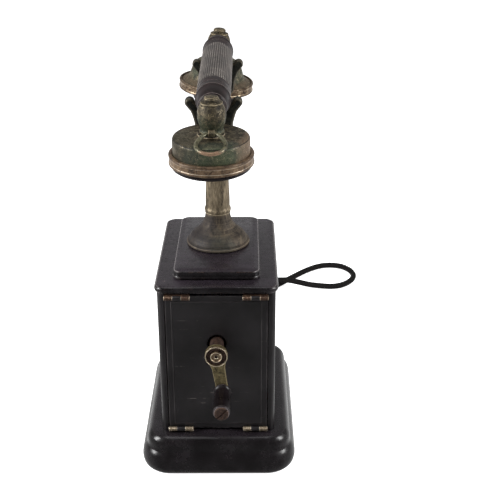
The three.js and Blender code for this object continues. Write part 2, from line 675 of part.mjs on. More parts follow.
// The ring hangs from the fitting's lug and lies forward over the receiver's back.
function addHangingRing() {
  const half = [[0, 2.4], [1.4, 5], [5.6, 7.8], [13.4, 10.5], [20, 10.7], [23.6, 7.6]];
  const points = [...half, [24.5, 0], ...half.map(([x, y]) => [x, -y]).reverse()];
  const path = new THREE.CatmullRomCurve3(points.map(([x, y]) => new THREE.Vector3(x, y, 0)), true);
  const ring = new THREE.TubeGeometry(path, 30, RING.wire, 7, true);
  ring.rotateY(RING.droop).translate(HANDSET.bulb + RING.x, 0, RING.z);
  piece('hanging_ring', tidy(ring), agedBrass, handset);
}

function addTransmitter() {
  const capsule = new THREE.Group();
  capsule.position.z = CAPSULE.seat;
  transmitter.add(capsule);
  const { bell } = CAPSULE;
  const horn = [
    [0, 0], [9.2, 0], [13, -0.6], [17, -1.9], [19.6, -4], [21.4, -7], [22.8, -10.6], [23.8, -14.2],
    [25, -16.9], [27.6, -19], [bell - 2.2, -20.7], [bell - 2.2, -26.3], [29.4, -26.3], [29.4, -22.4],
    [25.6, -20.6], [23.1, -18], [21.8, -14.6], [20.8, -11.2], [19.4, -7.9], [17.4, -5.4], [13, -3.9],
    [0, -3.4],
  ];
  piece('transmitter_case', turned(horn, 'z'), verdigris, capsule);
  const bore = bell - 1.9;
  const ring = [
    [bore, -19.7], [bell - 0.6, -19.7], [bell, -20.7], [bell, -26.7], [bell - 0.6, -27.7],
    [bore, -27.7], [bore, -19.7],
  ];
  piece('transmitter_ring', turned(ring, 'z'), agedBrass, capsule);
  const mouth = [
    [4, -24.9], [29, -24.9], [29, -26.6], [31.2, -26.6], [31.2, -27.9], [24, -29.9], [20.6, -31.7],
    [20, -37.3], [18.6, -37.3], [17.4, -31.7], [12, -27.9], [4, -26.9], [4, -24.9],
  ];
  piece('mouthpiece', turned(mouth, 'z'), blackEbonite, capsule);
}

// ---- cord ----

// The upper stretch hangs from the handset and moves with it, the lower one lies and stays.
function upperRoute() {
  const start = HANDSET.bulb + 9.2;
  const straightOut = (d) => [
    -(start + d) * Math.cos(HANDSET.tilt), 0, HANDSET.z + (start + d) * Math.sin(HANDSET.tilt),
  ];
  return [
    straightOut(0), straightOut(12), straightOut(22), [-141, -1.4, 322], [-151, -3, 311],
    [-154.5, -4, 296], [-155, -4, 250], [-155, -4, CORD.join + GAP / 2],
  ];
}

// Down to the table, round one loop that crosses itself in a low hump, and into the base.
function lowerRoute() {
  const lie = CORD.radius + 0.25 - FOOT;
  const over = lie + 2 * CORD.radius + 0.8;
  return [
    [-155, -4, CORD.join - GAP / 2], [-155, -4, 110], [-155, -4, 45], [-157, -3.6, 21],
    [-167, -1.6, 6.3], [-183, 2, lie + 0.7], [-208, 13, lie + 0.1], [-233, 29.5, lie],
    [-252, 46, lie], [-269, 62, lie], [-287, 78, lie], [-312, 102.5, lie], [-322, 118.5, lie],
    [-323.5, 131.7, lie], [-319.5, 143.2, lie], [-308.5, 152.3, lie], [-294, 155.3, lie],
    [-279.8, 150.3, lie], [-267.7, 138.2, lie], [-264.2, 126.6, lie], [-265, 113.5, lie + 0.3],
    [-266, 99.5, lie + 1.7], [-266, 85.5, lie + 5], [-266, 73.4, over], [-266.2, 61.3, over],
    [-267.6, 49.2, over - 0.6], [-270.6, 35.1, lie + 4.2], [-273.2, 20, lie + 1.2],
    [-271.6, 5, lie + 0.1], [-260, -15, lie], [-238, -29, lie], [-209, -35, lie],
    [-176, -35, lie + 0.1], [-146, -31, lie + 0.8], [-122, -28.4, 4.2],
    [-104, -28, CORD_INLET.z], [-92, -28, CORD_INLET.z],
    [-76, -28, CORD_INLET.z],
  ];
}

function addCord() {
  const upper = wire(through(upperRoute()), CORD.radius, 16, 4);
  piece('handset_cord_upper', upper, braid);
  const lower = wire(through(lowerRoute()), CORD.radius, 58, 4);
  piece('handset_cord_lower', lower, braid);
}

addBase();
addCaseShells();
addSidePanels();
addHinges();
addLid();
addColumn();
addPlunger();
addCradle();
addSwitch();
addMagneto();
addGears();
addCrank();
addRinger();
addElectrics();
addGrip();
addEndFittings();
addReceiver();
addHangingRing();
addTransmitter();
addCord();
telephone.position.z = FOOT;

export default telephone;
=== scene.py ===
# The looks of a magneto desk telephone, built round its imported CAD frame. Blender 4.5.
# Shapes are given in millimetres and turned into metres when a mesh is made.

import json
import math

import bmesh
import bpy
import numpy as np
from mathutils import Matrix, Vector


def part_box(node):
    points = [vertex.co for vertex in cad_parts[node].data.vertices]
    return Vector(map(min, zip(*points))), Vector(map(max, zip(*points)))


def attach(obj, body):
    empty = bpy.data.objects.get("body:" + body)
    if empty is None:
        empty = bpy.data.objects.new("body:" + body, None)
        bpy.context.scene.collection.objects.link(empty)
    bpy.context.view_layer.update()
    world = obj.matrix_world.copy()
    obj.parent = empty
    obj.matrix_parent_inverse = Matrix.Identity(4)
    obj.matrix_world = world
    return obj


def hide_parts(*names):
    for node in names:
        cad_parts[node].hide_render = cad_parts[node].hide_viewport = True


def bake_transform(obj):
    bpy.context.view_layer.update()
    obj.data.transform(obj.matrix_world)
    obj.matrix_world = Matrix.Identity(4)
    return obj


MM = 0.001
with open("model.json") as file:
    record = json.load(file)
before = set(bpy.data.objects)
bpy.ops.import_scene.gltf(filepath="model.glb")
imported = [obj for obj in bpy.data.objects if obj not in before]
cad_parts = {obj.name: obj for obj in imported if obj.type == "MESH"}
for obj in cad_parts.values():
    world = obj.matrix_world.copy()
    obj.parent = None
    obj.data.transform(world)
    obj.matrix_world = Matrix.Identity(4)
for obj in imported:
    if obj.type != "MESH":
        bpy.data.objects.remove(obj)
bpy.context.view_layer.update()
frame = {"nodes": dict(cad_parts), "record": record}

# ---- driving dimensions, as the CAD model has them ----

FOOT = 3.3  # heights below are drawn from a line this far above the table
TILT = math.radians(2.9)  # the handset and its cradle lean, far end up
BULB = 97  # from the middle of the grip to a capsule's axis
SEAT = -14  # where a capsule meets its end fitting, below the grip's axis
CRANK_Z = 116 + FOOT
CRANK_RADIUS = 32.6
ARM_X = 87.2
ARM_FRONT = 91.7
HINGE = {"x": 73, "y": 31.4, "low": 34 + FOOT, "high": 158.5 + FOOT, "half": 10.2, "knuckle": 1.9}
SHEET = 1.2
GRIP_Z = 321
EYE_X, EYE_Z = 10.4, -11.6  # the hanging ring's eye, from where the grip's and the receiver's axes meet
CORD_RADIUS = 3.35
CRISP = 38  # degrees, from which an edge isn't shaded smooth
CAMERA = {"place": (0.72273, 0.02454, 0.49706), "lens": 66.23, "down": 24.299, "aside": -0.214}
AXIS_X = Matrix.Rotation(math.pi / 2, 4, "Y")  # what was turned about Z comes to lie along X
AXIS_Y = Matrix.Rotation(-math.pi / 2, 4, "X")  # or along Y
ONTO_XZ = Matrix.Rotation(math.pi / 2, 4, "X")  # an outline's x and y become X and Z
ONTO_YZ = Matrix(((0, 0, 1, 0), (1, 0, 0, 0), (0, 1, 0, 0), (0, 0, 0, 1)))  # or Y and Z
HALF_TURN = Matrix.Rotation(math.pi, 4, "Z")


def shift(x, y, z):
    return Matrix.Translation((x * MM, y * MM, z * MM))


HANDSET = shift(0, 0, GRIP_Z + FOOT) @ Matrix.Rotation(TILT, 4, "Y")
RECEIVER = HANDSET @ shift(BULB, -0.7, SEAT)
TRANSMITTER = HANDSET @ shift(-BULB, 0, 0) @ Matrix.Rotation(math.radians(-4.5), 4, "X")
CRANK = shift(0, 0, CRANK_Z)
ARM = CRANK @ Matrix.Rotation(math.radians(8), 4, "X")
KNOB = ARM @ shift(0, 0, -CRANK_RADIUS)


def extent(node):
    """The two corners of a CAD node's box, in millimetres."""
    return [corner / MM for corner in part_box(node)]


# ---- the camera, the floor and the light ----


def add_camera():
    data = bpy.data.cameras.new("camera")
    data.sensor_width = 36
    data.lens = CAMERA["lens"]
    camera = bpy.data.objects.new("camera", data)
    camera.location = CAMERA["place"]
    down, aside = math.radians(CAMERA["down"]), math.radians(CAMERA["aside"])
    level = -math.cos(down)
    forward = Vector((level * math.cos(aside), level * math.sin(aside), -math.sin(down)))
    camera.rotation_mode = "QUATERNION"
    camera.rotation_quaternion = forward.to_track_quat("-Z", "Y")
    bpy.context.scene.collection.objects.link(camera)
    bpy.context.scene.camera = camera


def add_floor():
    size = 30
    mesh = bpy.data.meshes.new("floor")
    corners = [(-size, -size, 0), (size, -size, 0), (size, size, 0), (-size, size, 0)]
    mesh.from_pydata(corners, [], [(0, 1, 2, 3)])
    floor = bpy.data.objects.new("floor", mesh)
    bpy.context.scene.collection.objects.link(floor)
    material = bpy.data.materials.new("floor")
    material.use_nodes = True
    shader = material.node_tree.nodes["Principled BSDF"]
    shader.inputs["Base Color"].default_value = (0.9, 0.9, 0.9, 1)
    shader.inputs["Roughness"].default_value = 0.9
    shader.inputs["Specular IOR Level"].default_value = 0
    shader.inputs["Emission Color"].default_value = (1, 1, 1, 1)
    g = Graph(material.node_tree)
    seen = g.node("ShaderNodeLightPath").outputs["Is Camera Ray"]
    g.plug(shader.inputs["Emission Strength"], g.plus(g.times(seen, 0.15), 0.75))
    mesh.materials.append(material)
    floor.visible_glossy = False  # black lacquer would mirror it and turn grey


def add_softbox(name, place, aim, width, height, watts, mirrored=True):
    data = bpy.data.lights.new(name, "AREA")
    data.shape = "RECTANGLE"
    data.size, data.size_y = width, height
    data.energy = watts
    light = bpy.data.objects.new(name, data)
    light.location = place
    light.visible_glossy = mirrored
    light.rotation_mode = "QUATERNION"
    light.rotation_quaternion = (Vector(aim) - Vector(place)).to_track_quat("-Z", "Y")
    bpy.context.scene.collection.objects.link(light)


def add_world():
    """Light from behind the telephone, low over the table, and less of it from the sides, from above and
    from behind the camera. The camera itself sees white."""
    world = bpy.data.worlds.new("studio")
    bpy.context.scene.world = world
    world.use_nodes = True
    tree = world.node_tree
    tree.nodes.clear()
    sky = Graph(tree)
    direction = sky.node("ShaderNodeTexCoord").outputs["Generated"]
    axes = sky.node("ShaderNodeSeparateXYZ", Vector=direction)
    sides = sky.ramp(axes.outputs["X"], -0.9, -0.1, 1, 0.4)
    level = sky.ramp(axes.outputs["Z"], -0.1, 0.18, 1, 0.4)
    front = sky.ramp(axes.outputs["X"], 0.0, 0.6, 1, 0.25)
    seen = sky.node("ShaderNodeLightPath").outputs["Is Camera Ray"]
    strength = sky.larger(sky.times(sides, front, level), seen)
    background = sky.node("ShaderNodeBackground", Color=(1, 1, 1, 1), Strength=strength)
    output = sky.node("ShaderNodeOutputWorld")
    tree.links.new(background.outputs[0], output.inputs["Surface"])


# ---- materials ----


class Graph:
    """A node tree that is written as expressions: an input is a number, a vector or an output."""

    def __init__(self, tree):
        self.tree = tree

    def node(self, kind, settings=None, **inputs):
        made = self.tree.nodes.new(kind)
        for key, value in (settings or {}).items():
            setattr(made, key, value)
        for key, value in inputs.items():
            self.plug(made.inputs[key.replace("_", " ")], value)
        return made

    def plug(self, socket, value):
        if isinstance(value, bpy.types.NodeSocket):
            self.tree.links.new(value, socket)
        else:
            socket.default_value = value

    def math(self, operation, a, b=0.0):
        made = self.tree.nodes.new("ShaderNodeMath")
        made.operation = operation
        self.plug(made.inputs[0], a)
        self.plug(made.inputs[1], b)
        return made.outputs[0]

    def times(self, first, *others):
        for other in others:
            first = self.math("MULTIPLY", first, other)
        return first

    def plus(self, a, b):
        return self.math("ADD", a, b)

    def minus(self, a, b):
        return self.math("SUBTRACT", a, b)

    def larger(self, a, b):
        return self.math("MAXIMUM", a, b)

    def ramp(self, value, low, high, to_low=0.0, to_high=1.0):
        """value's stretch from low to high, eased on to the stretch from to_low to to_high."""
        made = self.tree.nodes.new("ShaderNodeMapRange")
        made.interpolation_type = "SMOOTHSTEP"
        for socket, given in zip(made.inputs, (value, low, high, to_low, to_high)):
            self.plug(socket, given)
        return made.outputs[0]

    def mix(self, amount, a, b):
        """amount of b in a, each an output or a colour as srgb takes it."""
        made = self.tree.nodes.new("ShaderNodeMix")
        made.data_type = "RGBA"
        self.plug(made.inputs[0], amount)
        for place, colour in ((6, a), (7, b)):
            self.plug(made.inputs[place], srgb(*colour) if isinstance(colour, tuple) else colour)
        return made.outputs[2]

    def place(self, stretch=(1, 1, 1), offset=(0, 0, 0)):
        coords = self.node("ShaderNodeTexCoord").outputs["Object"]
        mapping = self.node("ShaderNodeMapping", Vector=coords, Scale=stretch, Location=offset)
        return mapping.outputs[0]

    def noise(self, size, where, detail=5.0, rough=0.6, distortion=0.0):
        """Noise from 0 to 1 whose blobs are about size millimetres across."""
        made = self.node("ShaderNodeTexNoise", Vector=where, Scale=1 / (size * MM), Detail=detail,
                         Roughness=rough, Distortion=distortion)
        return made.outputs[0]

    def grains(self, size, where):
        made = self.node("ShaderNodeTexVoronoi", Vector=where, Scale=1 / (size * MM))
        return made.outputs["Distance"]

    def edge(self):
        """1 on an outward edge, -1 in an inward corner, 0 on a flat."""
        return self.node("ShaderNodeAttribute", {"attribute_name": "edge"}).outputs["Fac"]

    def along(self, direction):
        """How far a point lies along a direction of its object, in millimetres."""
        coords = self.node("ShaderNodeTexCoord").outputs["Object"]
        made = self.node("ShaderNodeVectorMath", {"operation": "DOT_PRODUCT"})
        self.plug(made.inputs[0], coords)
        self.plug(made.inputs[1], tuple(v / MM for v in direction))
        return made.outputs["Value"]

    def facing(self, axis):
        normal = self.node("ShaderNodeNewGeometry").outputs["Normal"]
        return self.node("ShaderNodeSeparateXYZ", Vector=normal).outputs[axis]


def srgb(r, g, b):
    """A colour as 0 to 255 values on a screen, as the linear colour that shaders take."""
    def linear(v):
        v /= 255
        return v / 12.92 if v <= 0.04045 else ((v + 0.055) / 1.055) ** 2.4
    return (linear(r), linear(g), linear(b), 1)


def new_material(name, metallic=0.0):
    material = bpy.data.materials.new(name)
    material.use_nodes = True
    shader = material.node_tree.nodes["Principled BSDF"]
    shader.inputs["Metallic"].default_value = metallic
    return material, Graph(material.node_tree), shader


def dress(graph, shader, colour, roughness, height, depth):
    """Connects a colour, a roughness and a relief of depth millimetres to the shader."""
    graph.plug(shader.inputs["Base Color"], colour)
    graph.plug(shader.inputs["Roughness"], roughness)
    bump = graph.node("ShaderNodeBump", Height=height, Strength=1.0, Distance=depth * MM)
    graph.plug(shader.inputs["Normal"], bump.outputs["Normal"])


def lacquered_wood(dusting_and_sheen_amount):
    material, g, shader = new_material("lacquered wood")
    where = g.place()
    broad = g.noise(22, where, 6, 0.65)
    cloud = g.noise(6, where, 6, 0.7)
    fine = g.noise(1.1, where, 4, 0.7)
    streaks = g.noise(4, g.place((1.6, 0.16, 1)), 6, 0.72)
    # Up-facing surfaces get a lighter purple-grey layer. It is partly dust and partly painted sheen of the
    # light on the tops.
    up = g.ramp(g.facing("Z"), 0.75, 0.98)
    colour = g.mix(g.ramp(broad, 0.35, 0.7), (17, 15, 16), (30, 27, 29))
    dusting_and_sheen_spread = g.ramp(g.plus(g.times(broad, 0.5), streaks), 0.5, 1.0, 0.3, 1)
    dusting_and_sheen = g.times(up, dusting_and_sheen_spread, dusting_and_sheen_amount)
    colour = g.mix(dusting_and_sheen, colour, (49, 42, 49))
    crackle = g.times(g.ramp(fine, 0.48, 0.62), g.ramp(cloud, 0.44, 0.6), up, 0.85 * dusting_and_sheen_amount)
    colour = g.mix(crackle, colour, (9, 7, 9))
    chips = g.times(g.ramp(g.grains(9, g.place(offset=(3, 1, 2))), 0.055, 0.04), g.ramp(broad, 0.5, 0.6))
    colour = g.mix(chips, colour, (128, 116, 108))
    # Edges that face the sides are lightened to pale grey all along, as painted highlight lines. The
    # blotchy brown rubbing on the other edges is wear.
    across = g.math("ABSOLUTE", g.facing("Y"))
    worn = g.larger(g.ramp(g.noise(7, where, 7, 0.75), 0.48, 0.64), g.ramp(across, 0.1, 0.4, 0, 0.75))
    rub_and_highlight = g.times(g.ramp(g.edge(), 0.12, 0.7), worn)
    bare_and_highlight_tone = g.mix(g.ramp(across, 0.1, 0.4), (62, 46, 40), (138, 130, 130))
    colour = g.mix(g.times(rub_and_highlight, 0.75), colour, bare_and_highlight_tone)
    roughness = g.plus(g.ramp(broad, 0.3, 0.75, 0.19, 0.33), g.times(crackle, 0.3))
    relief = g.plus(g.times(fine, 0.3), g.times(streaks, 0.7))
    relief = g.minus(relief, g.plus(g.times(chips, 2), crackle))
    dress(g, shader, colour, roughness, relief, 0.04)
    shader.inputs["Specular IOR Level"].default_value = 0.4
    return material


def japanned_sheet():
    material, g, shader = new_material("japanned sheet")
    where = g.place()
    broad = g.noise(35, where, 5, 0.6)
    cloud = g.noise(6, where, 5, 0.65)
    colour = g.mix(g.ramp(broad, 0.3, 0.75), (22, 20, 21), (32, 29, 31))
    scratch = g.noise(1.6, g.place((1, 0.03, 1.2), (0.2, 0, 0.1)), 2, 0.5)
    scratch = g.times(g.ramp(scratch, 0.68, 0.73), g.ramp(cloud, 0.5, 0.6))
    colour = g.mix(g.times(scratch, 0.5), colour, (92, 86, 82))
    specks = g.times(g.ramp(g.grains(5, where), 0.07, 0.04), g.ramp(cloud, 0.52, 0.62), 0.6)
    colour = g.mix(specks, colour, (80, 60, 50))
    # Outward edges lighten to pale grey. This is worn paint, and it is also painted highlight along the
    # folds and beads.
    rub_and_highlight = g.times(g.ramp(g.edge(), 0.1, 0.6), g.ramp(broad, 0.38, 0.6, 0.15, 1), 0.55)
    colour = g.mix(rub_and_highlight, colour, (96, 90, 90))
    roughness = g.ramp(g.plus(g.times(broad, 0.6), g.times(cloud, 0.4)), 0.3, 0.7, 0.3, 0.48)
    dress(g, shader, colour, roughness, g.plus(cloud, g.times(scratch, -1.5)), 0.03)
    return material


def patina(name, blob, dark, mid, light, bright, stretch=(1, 1, 1), metallic=0.4, rough=(0.3, 0.5),
           depth=0.05, wear=0.8, tints=(), rings=0.0, flecked=0.62):
    """Old metal: dark, middle and light tones in blobs, and a bright one on rubbed edges, which is both
    wear and painted highlight. Corners are dark. tints are (colour, direction, from, to, amount), tones
    that gain ground in that direction of the object. rings is how strongly the marks of turning show. A
    lower flecked gives more bright flecks."""
    material, g, shader = new_material(name, metallic)
    where = g.place()
    blobs = g.noise(blob, g.place(stretch), 7, 0.7, 0.3)
    fine = g.noise(blob * 0.2, g.place(stretch, (1, 2, 3)), 4, 0.75)
    mixed = g.plus(g.times(blobs, 0.64), g.times(fine, 0.36))
    if rings:
        turned = g.noise(1.1, g.place((0.02, 0.02, 1), (4, 1, 6)), 3, 0.6)
        mixed = g.plus(mixed, g.times(g.minus(turned, 0.5), rings))
    colour = g.mix(g.ramp(mixed, 0.4, 0.5), dark, mid)
    colour = g.mix(g.ramp(mixed, 0.5, 0.6), colour, light)
    for tone, direction, start, end, amount in tints:
        cloud = g.noise(11, g.place(offset=(5, 4, start)), 6, 0.7)
        spread = 2.4 * (end - start)
        reach = g.plus(g.along(direction), g.times(g.minus(cloud, 0.5), spread))
        patch = g.times(g.ramp(reach, start, end), g.ramp(fine, 0.35, 0.6, 0.4, 1))
        colour = g.mix(g.times(patch, amount), colour, tone)
    pits = g.times(g.ramp(g.grains(blob * 0.8, where), 0.2, 0.08), g.ramp(blobs, 0.58, 0.45))
    colour = g.mix(g.times(pits, 0.8), colour, dark)
    # Outward edges and flecks turn to the bright tone. This is rubbed metal, and it is also painted
    # highlight.
    rub_and_highlight = g.ramp(g.plus(g.edge(), g.times(mixed, 0.6)), 0.5, 1.0)
    flecks = g.times(g.ramp(fine, flecked, flecked + 0.1), g.ramp(blobs, flecked - 0.12, flecked))
    rub_and_highlight = g.larger(rub_and_highlight, g.times(flecks, 0.7))
    colour = g.mix(g.times(rub_and_highlight, wear), colour, bright)
    colour = g.mix(g.ramp(g.edge(), -0.1, -0.6, 0, 0.85), colour, dark)
    roughness = g.minus(g.ramp(mixed, 0.35, 0.65, rough[1], rough[0]), g.times(rub_and_highlight, 0.12 * wear))
    relief = g.minus(g.plus(mixed, g.times(fine, 0.35)), g.times(pits, 0.8))
    dress(g, shader, colour, roughness, relief, depth)
    return material


def ebonite(name, dark, light, rough, depth, rim=(104, 96, 98)):
    """Vulcanised rubber, dull or polished, with a painted highlight greying its outward edges."""
    material, g, shader = new_material(name)
    where = g.place()
    cloud = g.noise(9, where, 6, 0.65)
    fine = g.noise(0.8, where, 3, 0.6)
    colour = g.mix(g.ramp(cloud, 0.35, 0.65), dark, light)
    colour = g.mix(g.times(g.ramp(fine, 0.55, 0.7), 0.35), colour, dark)
    # The rim colour is a painted highlight laid along outward edges.
    colour = g.mix(g.ramp(g.edge(), 0.2, 0.7, 0, 0.8), colour, rim)
    colour = g.mix(g.ramp(g.edge(), -0.1, -0.8, 0, 0.75), colour, (12, 10, 12))
    roughness = g.ramp(cloud, 0.3, 0.7, rough[0], rough[1])
    dress(g, shader, colour, roughness, g.plus(cloud, g.times(fine, 0.4)), depth)
    shader.inputs["Specular IOR Level"].default_value = 0.22
    return material


def winding():
    material, g, shader = new_material("copper winding", 0.6)
    wave = g.node("ShaderNodeTexWave", {"wave_type": "BANDS", "bands_direction": "X"},
                  Vector=g.place(), Scale=1 / (1.6 * MM), Distortion=0.4, Detail=1.0)
    turns = wave.outputs[1]
    cloud = g.noise(6, g.place(), 5, 0.6)
    colour = g.mix(turns, (74, 34, 18), g.mix(cloud, (150, 84, 48), (112, 58, 34)))
    dress(g, shader, colour, g.ramp(cloud, 0.3, 0.7, 0.35, 0.55), turns, 0.15)
    return material


def braid():
    """Cotton over the cord: two sets of threads that cross, from the lengthwise and round coordinates."""
    material, g, shader = new_material("cord braid")
    uv = g.node("ShaderNodeUVMap", {"uv_map": "braid"}).outputs["UV"]
    parts = g.node("ShaderNodeSeparateXYZ", Vector=uv)
    around, lengthwise = parts.outputs["X"], parts.outputs["Y"]
    threads = [g.math("SINE", g.math(kind, around, lengthwise)) for kind in ("ADD", "SUBTRACT")]
    weave = g.ramp(g.times(threads[0], threads[1]), -0.8, 0.8)
    worn = g.noise(9, g.place(), 5, 0.7)
    colour = g.mix(weave, (9, 8, 8), (25, 23, 22))
    colour = g.mix(g.ramp(worn, 0.5, 0.75, 0, 0.5), colour, (34, 31, 28))
    dress(g, shader, colour, g.ramp(worn, 0.3, 0.7, 0.72, 0.9), weave, 0.12)
    shader.inputs["Specular IOR Level"].default_value = 0.15
    return material


def all_finishes():
    finishes = {
        "lacquered_wood": lacquered_wood(0.3),
        # The boards' lacquer has more dust and more painted sheen on its tops.
        "dusting_sheen_lacquer": lacquered_wood(0.9),
        "japanned_sheet": japanned_sheet(),
        "ribbed_ebonite": ebonite("ribbed ebonite", (74, 69, 66), (111, 105, 100), (0.42, 0.6), 0.02),
        "black_ebonite": ebonite("black ebonite", (13, 9, 10), (25, 19, 22), (0.26, 0.44), 0.02,
                                 (120, 108, 108)),
        # The collars' light rim colour paints highlight rings on them.
        "collar_ebonite": ebonite("collar ebonite", (19, 12, 12), (38, 28, 28), (0.36, 0.54), 0.03,
                                  (160, 146, 140)),
        "fibre": ebonite("fibre", (44, 28, 20), (84, 54, 38), (0.5, 0.7), 0.04),
        "copper_winding": winding(),
        "cord_braid": braid(),
    }
    mottled = [(20, 16, 12), (68, 60, 44), (120, 108, 84), (176, 160, 130)]
    green = (56, 70, 53)

    def metal(name, blob, *tones, **look):
        finishes[name] = patina(name.replace("_", " "), blob, *tones, **look)

    # Here the near-white bright tone is painted highlight on the rubbed edges of rims and nuts.
    metal("aged_brass", 4.5, (46, 34, 26), (114, 94, 74), (160, 142, 116), (244, 230, 200),
          metallic=0.65, rough=(0.3, 0.54), wear=1)
    metal("brown_brass", 2.4, (30, 21, 17), (76, 55, 43), (108, 84, 66), (214, 196, 172),
          metallic=0.6, rough=(0.36, 0.6), wear=0.95)
    # The foot's second tint, dark purple towards -Y, is painted shade on its left side.
    metal("turned_brass", 7, (40, 34, 29), (70, 61, 50), (92, 80, 65), (140, 124, 104),
          stretch=(1, 1, 0.3), rough=(0.56, 0.76), wear=0.6, rings=0.3,
          tints=[((58, 62, 57), (1, -0.3, 0), 12, 22, 0.6), ((36, 31, 34), (0.2, -1, 0), 4, 15, 0.9)])
    metal("streaked_brass", 3.4, (52, 44, 34), (112, 100, 80), (146, 131, 108), (206, 190, 160),
          stretch=(1, 1, 0.16), metallic=0.5, rough=(0.42, 0.64))
    # Here the near-white bright tone is painted highlight along the rim's beads.
    metal("rim_brass", 7, (58, 45, 35), (106, 86, 66), (132, 110, 86), (250, 238, 216),
          metallic=0.42, rough=(0.34, 0.52), wear=1, rings=0.12)
    metal("verdigris_brass", 4, (20, 16, 12), (60, 54, 40), (106, 95, 74), (170, 154, 126),
          rough=(0.4, 0.68), depth=0.25, wear=0.9, flecked=0.56,
          tints=[((38, 62, 54), (1, 0.2, 0), 12, 24, 0.58), ((98, 104, 74), (1, 0.25, 0), 22, 31, 0.65),
                 ((58, 54, 38), (0.3, -1, 0.3), 10, 20, 0.6), ((136, 112, 90), (0.2, 1, 0), 20, 27, 0.6)])
    metal("green_brass", 4, *mottled, metallic=0.35, rough=(0.42, 0.7), depth=0.2, flecked=0.57,
          tints=[(green, (0, 0, 0), -1, 1, 0.8), ((98, 80, 64), (0, 0, -1), 15, 19, 0.7)])
    metal("worn_brass", 3.4, *mottled, metallic=0.45, rough=(0.36, 0.66), depth=0.3, flecked=0.56,
          tints=[(green, (0, -0.3, -1), -2, 8, 0.7)])
    metal("dull_brass", 3, (34, 32, 24), (88, 86, 66), (124, 118, 94), (186, 172, 142),
          depth=0.1, tints=[((160, 120, 98), (1, 0, 0), 21, 25, 0.7)])
    metal("bright_brass", 2, (64, 54, 44), (134, 120, 100), (172, 158, 136), (224, 212, 190),
          metallic=0.65, rough=(0.32, 0.5))
    metal("olive_brass", 4, (52, 44, 30), (98, 88, 60), (124, 112, 80), (170, 154, 120),
          metallic=0.5, rough=(0.42, 0.62), wear=0.5)
    metal("cradle_iron", 4, (12, 13, 11), (28, 30, 25), (48, 47, 38), (92, 84, 68),
          rough=(0.38, 0.6), wear=0.45, depth=0.1)
    metal("steel", 5, (70, 68, 66), (110, 108, 106), (140, 138, 136), (190, 188, 184), metallic=0.9)
    metal("rusty_steel", 2.2, (24, 16, 13), (58, 40, 32), (82, 60, 48), (128, 104, 86),
          rough=(0.5, 0.8), depth=0.12, wear=0.6)
    metal("magnet_steel", 8, (36, 37, 42), (58, 60, 68), (78, 80, 86), (150, 150, 150), metallic=0.7)
    metal("bell_metal", 9, (120, 110, 94), (176, 166, 144), (200, 192, 172), (226, 220, 204),
          metallic=0.9, rough=(0.18, 0.34), depth=0.02)
    return finishes


# ---- meshes ----


def eased(profile, closed=False, ease=0.3, steps=4):
    """A profile with its corners rounded, as (a, b, edge) points. A profile point is (a, b) or
    (a, b, ease), and a large ease makes a curve of its neighbourhood. edge is 1 on the crown of a sharp
    outward corner and -1 in an inward one. The solid lies on the left of the profile's direction."""
    points = [Vector(p[:2]) for p in profile]
    eases = [p[2] if len(p) > 2 else ease for p in profile]
    count = len(points)
    rounded = []
    for i, corner in enumerate(points):
        if not closed and i in (0, count - 1):
            rounded.append((corner.x, corner.y, 0.0))
            continue
        back, on = points[i - 1] - corner, points[(i + 1) % count] - corner
        reach = min(eases[i], back.length / 2, on.length / 2)
        start, end = corner + back.normalized() * reach, corner + on.normalized() * reach
        turn = math.asin(max(-1.0, min(1.0, -back.normalized().cross(on.normalized()))))
        if back.dot(on) > 0:
            turn = math.copysign(math.pi - abs(turn), turn)
        sharp = turn / (math.pi / 2) * min(1.0, 1.2 / max(reach, 0.2))
        for k in range(steps + 1):
            t = k / steps
            point = start * (1 - t) ** 2 + corner * 2 * t * (1 - t) + end * t * t
            rounded.append((point.x, point.y, sharp * 4 * t * (1 - t)))
    return rounded


def skin(rings, closed=False, capped=False):
    """The faces between neighbouring rings of vertex numbers. A ring on the axis repeats one number."""
    faces = []
    for lower, upper in zip(rings, rings[1:] + rings[:1] if closed else rings[1:]):
        for k in range(len(lower)):
            n = (k + 1) % len(lower)
            corners = [lower[k], lower[n], upper[n], upper[k]]
            kept = [v for i, v in enumerate(corners) if v != corners[i - 1]]
            if len(kept) > 2:
                faces.append(kept)
    if capped:
        faces += [list(rings[0])[::-1], list(rings[-1])]
    return faces


def numbered(count, sides):
    """The vertex numbers of count rings of sides vertices, one after another."""
    return [range(k * sides, (k + 1) * sides) for k in range(count)]


def lathe(profile, sides=96, ease=0.3):
    """A solid turned about Z from (radius, height) points, which start and end on the axis or else go
    round in a closed line."""
    closed = profile[0][0] > 0
    rings = eased(profile, closed, ease)
    vertices, edges, index = [], [], []
    for radius, height, edge in rings:
        if radius < 1e-6:
            index.append([len(vertices)] * sides)
            vertices.append((0, 0, height))
            edges.append(0.0)
            continue
        index.append(list(range(len(vertices), len(vertices) + sides)))
        for k in range(sides):
            angle = 2 * math.pi * k / sides
            vertices.append((radius * math.cos(angle), radius * math.sin(angle), height))
            edges.append(edge)
    return vertices, skin(index, closed), edges


def stack(levels, arc=12, ease=0.3):
    """A solid of rounded rectangles: levels are (height, inset, half_x, half_y, corner, ease)."""
    profile = [(inset, height, *rest) for height, inset, _, _, _, *rest in levels]
    rounded = eased(profile, False, ease)
    _, _, half_x, half_y, corner = levels[0][:5]
    vertices, edges = [], []
    for inset, height, edge in rounded:
        r = max(corner - inset, min(corner, 0.6))
        for quarter, (sx, sy) in enumerate(((1, 1), (-1, 1), (-1, -1), (1, -1))):
            for i in range(arc + 1):
                angle = (quarter + i / arc) * math.pi / 2
                x = sx * (half_x - inset - r) + r * math.cos(angle)
                y = sy * (half_y - inset - r) + r * math.sin(angle)
                vertices.append((x, y, height))
                edges.append(-edge)
    return vertices, skin(numbered(len(rounded), 4 * (arc + 1)), capped=True), edges


def board(levels, half_x, half_y, corner, **more):
    """A moulded board: levels are (inset, height, ease)."""
    return stack([(z, inset, half_x, half_y, corner, *rest) for inset, z, *rest in levels], **more)


